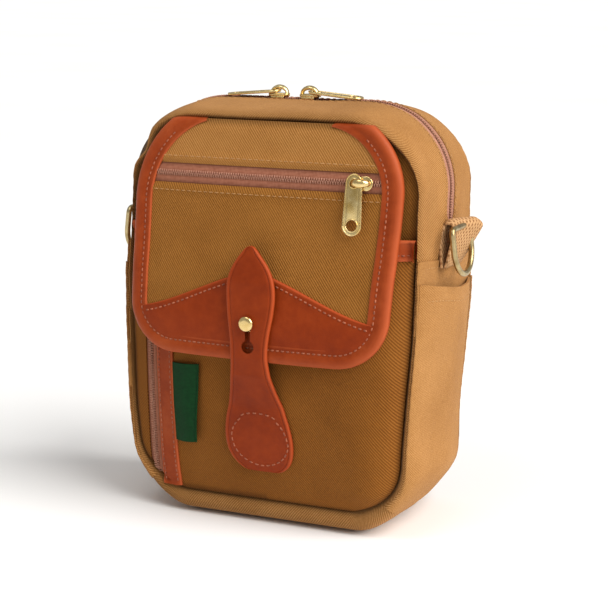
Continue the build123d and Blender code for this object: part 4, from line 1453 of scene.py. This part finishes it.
def side_layer(name, sign, z_low, z_high, lift, crown, sag):
    """A layer of canvas over one side, from seam to seam, standing out by lift and crown."""
    half = smooth_line(SECTION[1:], 20)
    depths = [(s, a, d, -1) for s, a, d in half] + [(0.0, half[-1][1], 0.0, 1)]
    depths += [(s, a, d, 1) for s, a, d in reversed(half)]
    rows = side_rows(sign, z_low, z_high)
    grid, uv, shade, held, cap = [], [], [], [], []
    for i in [None] + rows:
        ref = rows[0] if i is None else i
        z_here = z_high if i is None else OUTLINE[i][1]
        nx, nz = OUTLINE_N[ref]
        fall = ease((z_here - z_low) / 0.022)
        swell = 0.55 + 0.45 * ease((z_here - 0.05) / 0.07)
        near_top = ease((z_here - z_high + 0.045) / 0.045)
        row, row_uv, row_shade = [], [], []
        for s, a, d, half_sign in depths:
            base = gusset_point(ref, s, a, d, half_sign)
            open_out = crown * max(0.0, 1 - (d / 0.036) ** 2) ** 0.8 * fall * swell
            out = lift * min(1.0, 0.35 + fall) + open_out
            point = base + np.array([nx, 0, nz]) * out
            across = min(1.0, (0.036 + half_sign * d) / 0.072)
            point[2] -= near_top * (sag * ease(across / 0.75) - 0.25 * sag * (1 - ease(across / 0.2)))
            if s > 0:
                point[1] += half_sign * 0.0004 * min(1.0, s * 3)
            if i is None:
                point[2] += z_high - base[2]
            row.append(point)
            row_uv.append((point[2], half_sign * (d + s * 0.01)))
            # Painted shade along the seams.
            row_shade.append(0.9 * math.exp(-((d - 0.0350) ** 2) / 0.000002) * (s > 0.8))
            held.append(1.0 if (s > 0.2 or z_here < z_low + 0.008) else 0.0)
            cap.append(0.0016 * max(0.0, 1 - (d / 0.033) ** 2))
        grid.append(row)
        uv.append(row_uv)
        shade.append(row_shade)
    layer = grid_object(name, grid, CANVAS_SIDE_LIT, uv, shade=shade)
    if crown > 0:
        inflate(layer, held, 2.5, cap)
    return layer


BAND_SAG = 0.0040
SIDE_POCKET_SAG = 0.0065
SIDE_SIGNS = {"left": -1, "right": 1}
sides = {}
for side, sign in SIDE_SIGNS.items():
    band = side_layer(f"side_band_{side}", sign, 0.100, 0.1350, 0.0008, 0.0, BAND_SAG)
    pocket = side_layer(f"side_pocket_{side}_canvas", sign, 0.0125, 0.1235, 0.0012, 0.0042, SIDE_POCKET_SAG)
    sides[side] = (band, pocket)
    band_skin, side_skin = Skin(band), Skin(pocket)
    for skin, z, sag in ((band_skin, 0.1318, BAND_SAG), (side_skin, 0.1168, SIDE_POCKET_SAG)):
        found = [skin.side(sign, y, z - sag * ease((y + 0.036) / 0.054), ON_SURFACE)
                 for y in np.linspace(-0.0320, 0.0320, 40)]
        sew("stitches_canvas_pack", found, **SEAM_STITCH)
    thicken(band, 0.0008)
    thicken(pocket, CLOTH)


LOOP_FOOT_Z = 0.1300


def make_loop(side, sign):
    """A webbing loop: out of the side's seam, up round the ring's bar and down again."""
    x0, x1 = loop_low.x, loop_high.x
    bar_x, fold_r = x1 - 0.0034, 0.0034 - 0.0006
    bar_z = loop_high.z - 0.0034
    half = (loop_high.y - loop_low.y) / 2 + 0.0006
    path = [(x0 + 0.0006, LOOP_FOOT_Z), (x0 + 0.0007, 0.1360), (x0 + 0.0010, 0.1430), (bar_x - fold_r, bar_z)]
    path += arc(bar_x, bar_z, fold_r, 150, 30, 5)
    path += [(bar_x + fold_r, bar_z), (x1 - 0.0024, 0.1430), (x0 + 0.0042, 0.1350),
             (x0 + 0.0022, LOOP_FOOT_Z)]
    line = smooth_line(path, 44)
    grid, uv = [], []
    for (x, z), along in zip(line, run_along(line)):
        rise = max(0.0, (z - LOOP_FOOT_Z) / 0.02)
        lean = min(1.0, rise)
        row, row_uv = [], []
        for t in np.linspace(-1, 1, 14):
            y = SIDE_Y + half * t
            skew = 0.0024 * t * lean - 0.0014 * lean * (1 - t) + 0.0004 * math.sin(t * 4) * rise
            droop = 0.0012 * lean * max(0.0, abs(t) - 0.6) ** 1.5 * 6
            row.append((sign * (x + skew), y + 0.0068 * lean, z - droop - 0.0004 * t * rise))
            row_uv.append((along, half * t))
        grid.append(row)
        uv.append(row_uv)
    loop = grid_object(f"webbing_loop_{side}_cloth", grid, WEBBING, uv)
    solidify = loop.modifiers.new("thickness", "SOLIDIFY")
    solidify.thickness = 0.0012
    solidify.offset = 0.0
    bevel = loop.modifiers.new("edges", "BEVEL")
    bevel.width = 0.0003
    bevel.segments = 2
    bevel.limit_method = "ANGLE"
    return apply_modifiers(loop)


loops = {side: make_loop(side, sign) for side, sign in SIDE_SIGNS.items()}

# ---------------------------------------------------------------- back panel's seam

back_seam = [back_skin.back(x, SPLIT_Z - 0.0016, ON_SURFACE) for x in np.linspace(-0.071, 0.071, 80)]
sew("stitches_canvas_pack", back_seam, **SEAM_STITCH)

# ---------------------------------------------------------------- brass fittings


def place_on(obj, plane_x, plane_z, origin):
    """Moves an object made at the origin so its X and Z lie along two directions at a point."""
    x = Vector(plane_x).normalized()
    z = Vector(plane_z).normalized()
    y = z.cross(x)
    matrix = Matrix((x, y, z)).transposed().to_4x4()
    matrix.translation = Vector(origin)
    obj.data.transform(matrix)
    return obj


def make_slider(name, face_x, face_z, origin, under=True):
    """A zip slider: a waisted cap with a bridge over it and a plate below the coil."""
    half, wide = 0.0052, 0.0037
    outline = arc(-half + 0.0026, 0, 0.0026, 100, 260, 10) + [(0, -wide * 0.86)]
    outline += arc(half - 0.0030, 0, 0.0035, -80, 80, 12) + [(0, wide * 0.86)]
    cap = plate("cap", [outline], 0.0014, 0.0004, BRASS)
    cap.data.transform(Matrix.Translation((0, 0, 0.00025 + 0.0007)))
    bridge = []
    for t in np.linspace(0, 1, 22):
        x = lerp(-0.0038, 0.0038, t)
        bridge.append((x, 0, 0.0014 + 0.0033 * math.sin(math.pi * t) ** 0.42))
    widths = [0.9 + 0.45 * math.sin(math.pi * t) for t in np.linspace(0, 1, 22)]
    arch = tube("arch", bridge, 0.00082, BRASS, flatten=widths)
    arch.data.transform(Matrix.Diagonal((1.08, 1.8, 1, 1)))
    parts = [cap, arch]
    if under:
        plate_low = plate("under", [[(x * 0.9, y * 0.84) for x, y in outline]], 0.0010, 0.0003, BRASS)
        plate_low.data.transform(Matrix.Translation((0, 0, -0.00255)))
        parts.append(plate_low)
        for sign in (-1, 1):
            wing = soft_box("wing", (0.0070, 0.0007, 0.0016), 0.0003, BRASS)
            wing.data.transform(Matrix.Translation((0, sign * 0.0030, -0.0002)))
            parts.append(wing)
    slider = join(name, parts)
    return place_on(slider, face_x, face_z, origin)


def make_puller(name, x_dir, z_dir, origin):
    """A pull tab: a rounded bar with an eye, a sunk face with a raised rim, and a round hole at its end."""
    near, far, end_x = 0.0041, 0.0048, 0.0194
    outline = arc(0, 0, near, 95, 265, 20) + arc(end_x, 0, far, -87, 87, 26)
    eye = list(reversed(arc(0.0002, 0, 0.0020, 0, 342, 20)))
    hole = list(reversed(arc(end_x, 0, 0.0027, 0, 346, 26)))
    body = plate("tab", [outline, eye, hole], 0.0010, 0.00022, BRASS)
    line = [(x * 0.985, y * 0.90, 0.00042) for x, y in outline]
    rim = tube("rim", line, 0.00036, BRASS, closed=True, resolution=3)
    hole_line = [(x, y, 0.00042) for x, y in arc(end_x, 0, 0.0029, 0, 350, 30)]
    hole_rim = tube("hole_rim", hole_line, 0.00032, BRASS, closed=True, resolution=3)
    eye_line = [(x, y, 0.00040) for x, y in arc(0.0002, 0, 0.0022, 0, 350, 24)]
    eye_rim = tube("eye_rim", eye_line, 0.00028, BRASS, closed=True, resolution=3)
    puller = join(name, [body, rim, hole_rim, eye_rim])
    return place_on(puller, x_dir, z_dir, origin)


joints = {j["name"]: j for j in frame["joints"]}


def node_middle(node):
    low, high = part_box(node)
    return (low + high) / 2


EYE = 0.0026
hardware = {}
RAISED = 0.0012
zip_face_z = TOP - 0.0006 + RAISED
for side, outward in SIDE_SIGNS.items():
    x = node_middle(f"main_slider_{side}").x
    hardware[f"main_slider_{side}"] = make_slider(
        f"main_slider_{side}_brass", (outward, 0, 0), (0, 0, 1), (x, 0, zip_face_z)
    )
    dip = math.radians(5)
    low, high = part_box(f"main_puller_{side}")
    eye_end = high.x if outward < 0 else low.x
    eye = (eye_end + outward * 0.0036 * math.cos(dip), 0, high.z - 0.0005 - 0.0036 * math.sin(dip) + RAISED)
    hardware[f"main_puller_{side}"] = make_puller(
        f"main_puller_{side}_brass",
        (outward * math.cos(dip), 0, -math.sin(dip)),
        (outward * math.sin(dip), 0, math.cos(dip)),
        eye,
    )

for prefix in ("flap", "pocket"):
    slide_node, puller_node = f"{prefix}_zip_slider", f"{prefix}_zip_puller"
    swivel = joints[f"{prefix}_puller_swivel"]
    normal = Vector(swivel["axis"]).normalized()
    eye = Vector(swivel["pos_m"])
    along = Vector((1, 0, 0)) if prefix == "flap" else Vector((0, 0, 1))
    face = eye + along * 0.0029 - normal * EYE
    hardware[slide_node] = make_slider(f"{slide_node}_brass", along, normal, face, under=prefix == "pocket")
    down = Vector((0, 0, -1)) if prefix == "pocket" else normal.cross(Vector((1, 0, 0))) * -1
    if down.z > 0:
        down = -down
    hardware[puller_node] = make_puller(f"{puller_node}_brass", down, normal, eye)


def make_stud_head():
    """A domed stud head with a slightly flattened crown."""
    r = (head_high.x - head_low.x) / 2
    back, front = head_high.y, head_low.y
    shape = [(r * 0.86, back), (r * 0.98, back - 0.0004), (r, lerp(back, front, 0.45)),
             (r * 0.9, lerp(back, front, 0.76)), (r * 0.62, lerp(back, front, 0.94)),
             (r * 0.3, front + 0.00002), (0.00001, front)]
    profile = smooth_line(shape, 22)
    grid = [[(rr * math.cos(a), y, STUD_Z + rr * math.sin(a)) for rr, y in profile]
            for a in np.linspace(0, 2 * math.pi, 48, endpoint=False)]
    return grid_object("stud_head_brass", grid, BRASS, closed=True)


stud_head = make_stud_head()

# ---------------------------------------------------------------- stitches to meshes

stitches = {
    group: make_stitches(group, thread)
    for group, thread in (
        ("stitches_gusset_front", THREAD_CANVAS), ("stitches_gusset_rear", THREAD_CANVAS),
        ("stitches_leather_pack", THREAD_LEATHER), ("stitches_canvas_flap", THREAD_CANVAS),
        ("stitches_leather_flap", THREAD_LEATHER), ("stitches_strap_pad", THREAD_LEATHER),
        ("stitches_canvas_pack", THREAD_CANVAS),
    )
}

# ---------------------------------------------------------------- which body each piece rides on

for piece in (gusset_front, front_panel, lining_front, base_pad, zip_front, pocket_main, pocket_left,
              pocket_zip, pocket_facing, mouth_binding, side_label, loops["left"], loops["right"],
              *sides["left"], *sides["right"], stitches["stitches_gusset_front"],
              stitches["stitches_leather_pack"], stitches["stitches_canvas_pack"]):
    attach(piece, "pack")

for piece in (gusset_rear, back_panel, lining_rear, zip_rear, stitches["stitches_gusset_rear"]):
    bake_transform(piece)

for piece in (flap_upper, flap_backing, flap_binding):
    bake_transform(piece)
for piece in (flap_lower, flap_zip, flap_reinforcement, stitches["stitches_canvas_flap"],
              stitches["stitches_leather_flap"], stud_head):
    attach(piece, "flap")

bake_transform(closure_strap)
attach(stitches["stitches_strap_pad"], "pack")
for node, piece in hardware.items():
    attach(piece, node)
    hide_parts(node)

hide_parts("lower_gusset", "gusset_front_arch")
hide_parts("gusset_rear_arch")
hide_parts("front_panel")
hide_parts("back_panel_lower", "back_panel_upper")
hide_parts("lining_body")
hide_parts("lining_rear")
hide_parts("base_board")
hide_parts("main_zip_front_tape")
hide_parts("main_zip_rear_tape")
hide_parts("front_pocket_panel")
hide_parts("pocket_zip_tape")
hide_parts("pocket_zip_facing")
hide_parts("pocket_mouth_binding")
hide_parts("side_label")
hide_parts("flap_root_seam")
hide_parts("flap_canvas")
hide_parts("flap_zip_tape")
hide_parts("flap_binding")
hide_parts("flap_reinforcement")
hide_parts("flap_backing")
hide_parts("closure_strap", "closure_strap_pad")
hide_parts("stud_head")
for side in ("left", "right"):
    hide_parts(f"side_pocket_{side}")
    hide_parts(f"webbing_loop_{side}")

for node in ("d_ring_left", "d_ring_right", "stud_base"):
    obj = frame["nodes"][node]
    obj.data.materials.clear()
    obj.data.materials.append(BRASS if node == "stud_base" else BRASS_RING)

# ---------------------------------------------------------------- floor, light and camera


def floor_material():
    n = Nodes("studio_floor")
    colour = n.ramp(n.noise(3, 2), [(0.3, srgb(244, 243, 241)), (0.7, srgb(248, 247, 246))])
    return n.finish(colour, 0.9)


FAR = 30.0
WORLD_STRENGTH = 0.38
floor_mesh = bpy.data.meshes.new("floor")
floor_mesh.from_pydata([(-FAR, -FAR, 0), (FAR, -FAR, 0), (FAR, FAR, 0), (-FAR, FAR, 0)], [], [(0, 1, 2, 3)])
floor = new_object("floor", floor_mesh, floor_material())
floor.location.z = body_low.z - 0.0001

world = bpy.data.worlds.new("studio")
bpy.context.scene.world = world
world.use_nodes = True
world.node_tree.nodes["Background"].inputs[0].default_value = (1.0, 0.998, 0.995, 1)
world.node_tree.nodes["Background"].inputs[1].default_value = WORLD_STRENGTH


LIGHT_AIM = Vector((0, 0, 0.11))


def aim_light(name, kind, place, energy, colour=(1, 1, 1), size=0.6):
    """A lamp at a place, turned to the middle of the bag."""
    light = bpy.data.lights.new(name, kind)
    light.energy = energy
    light.color = colour
    if kind == "SUN":
        light.angle = math.radians(size)
    else:
        light.shape = "DISK"
        light.size = size
    obj = bpy.data.objects.new(name, light)
    bpy.context.scene.collection.objects.link(obj)
    obj.location = place
    obj.rotation_euler = (LIGHT_AIM - Vector(place)).to_track_quat("-Z", "Y").to_euler()


aim_light("key_right", "SUN", (1.56, -0.34, 1.30), 4.2, (1.0, 0.99, 0.97), size=52)
aim_light("top_front", "AREA", (-0.05, -0.30, 0.66), 0.85, size=0.35)

bpy.context.scene.view_settings.view_transform = "Standard"

CAMERA_AZIMUTH = math.radians(24.32)
CAMERA_ELEVATION = math.radians(11.71)
CAMERA_DISTANCE = 0.84536
CAMERA_TARGET = Vector((0.00238, 0.0, 0.10331))
CAMERA_SENSOR = 36
CAMERA_LENS = 100.8
away = Vector((
    math.sin(CAMERA_AZIMUTH) * math.cos(CAMERA_ELEVATION),
    -math.cos(CAMERA_AZIMUTH) * math.cos(CAMERA_ELEVATION),
    math.sin(CAMERA_ELEVATION),
))
camera_data = bpy.data.cameras.new("camera")
camera_data.sensor_width = CAMERA_SENSOR
camera_data.lens = CAMERA_LENS
camera_data.clip_start = 0.01
camera = bpy.data.objects.new("camera", camera_data)
bpy.context.scene.collection.objects.link(camera)
camera.location = CAMERA_TARGET + away * CAMERA_DISTANCE
camera.rotation_euler = away.to_track_quat("Z", "Y").to_euler()
bpy.context.scene.camera = camera
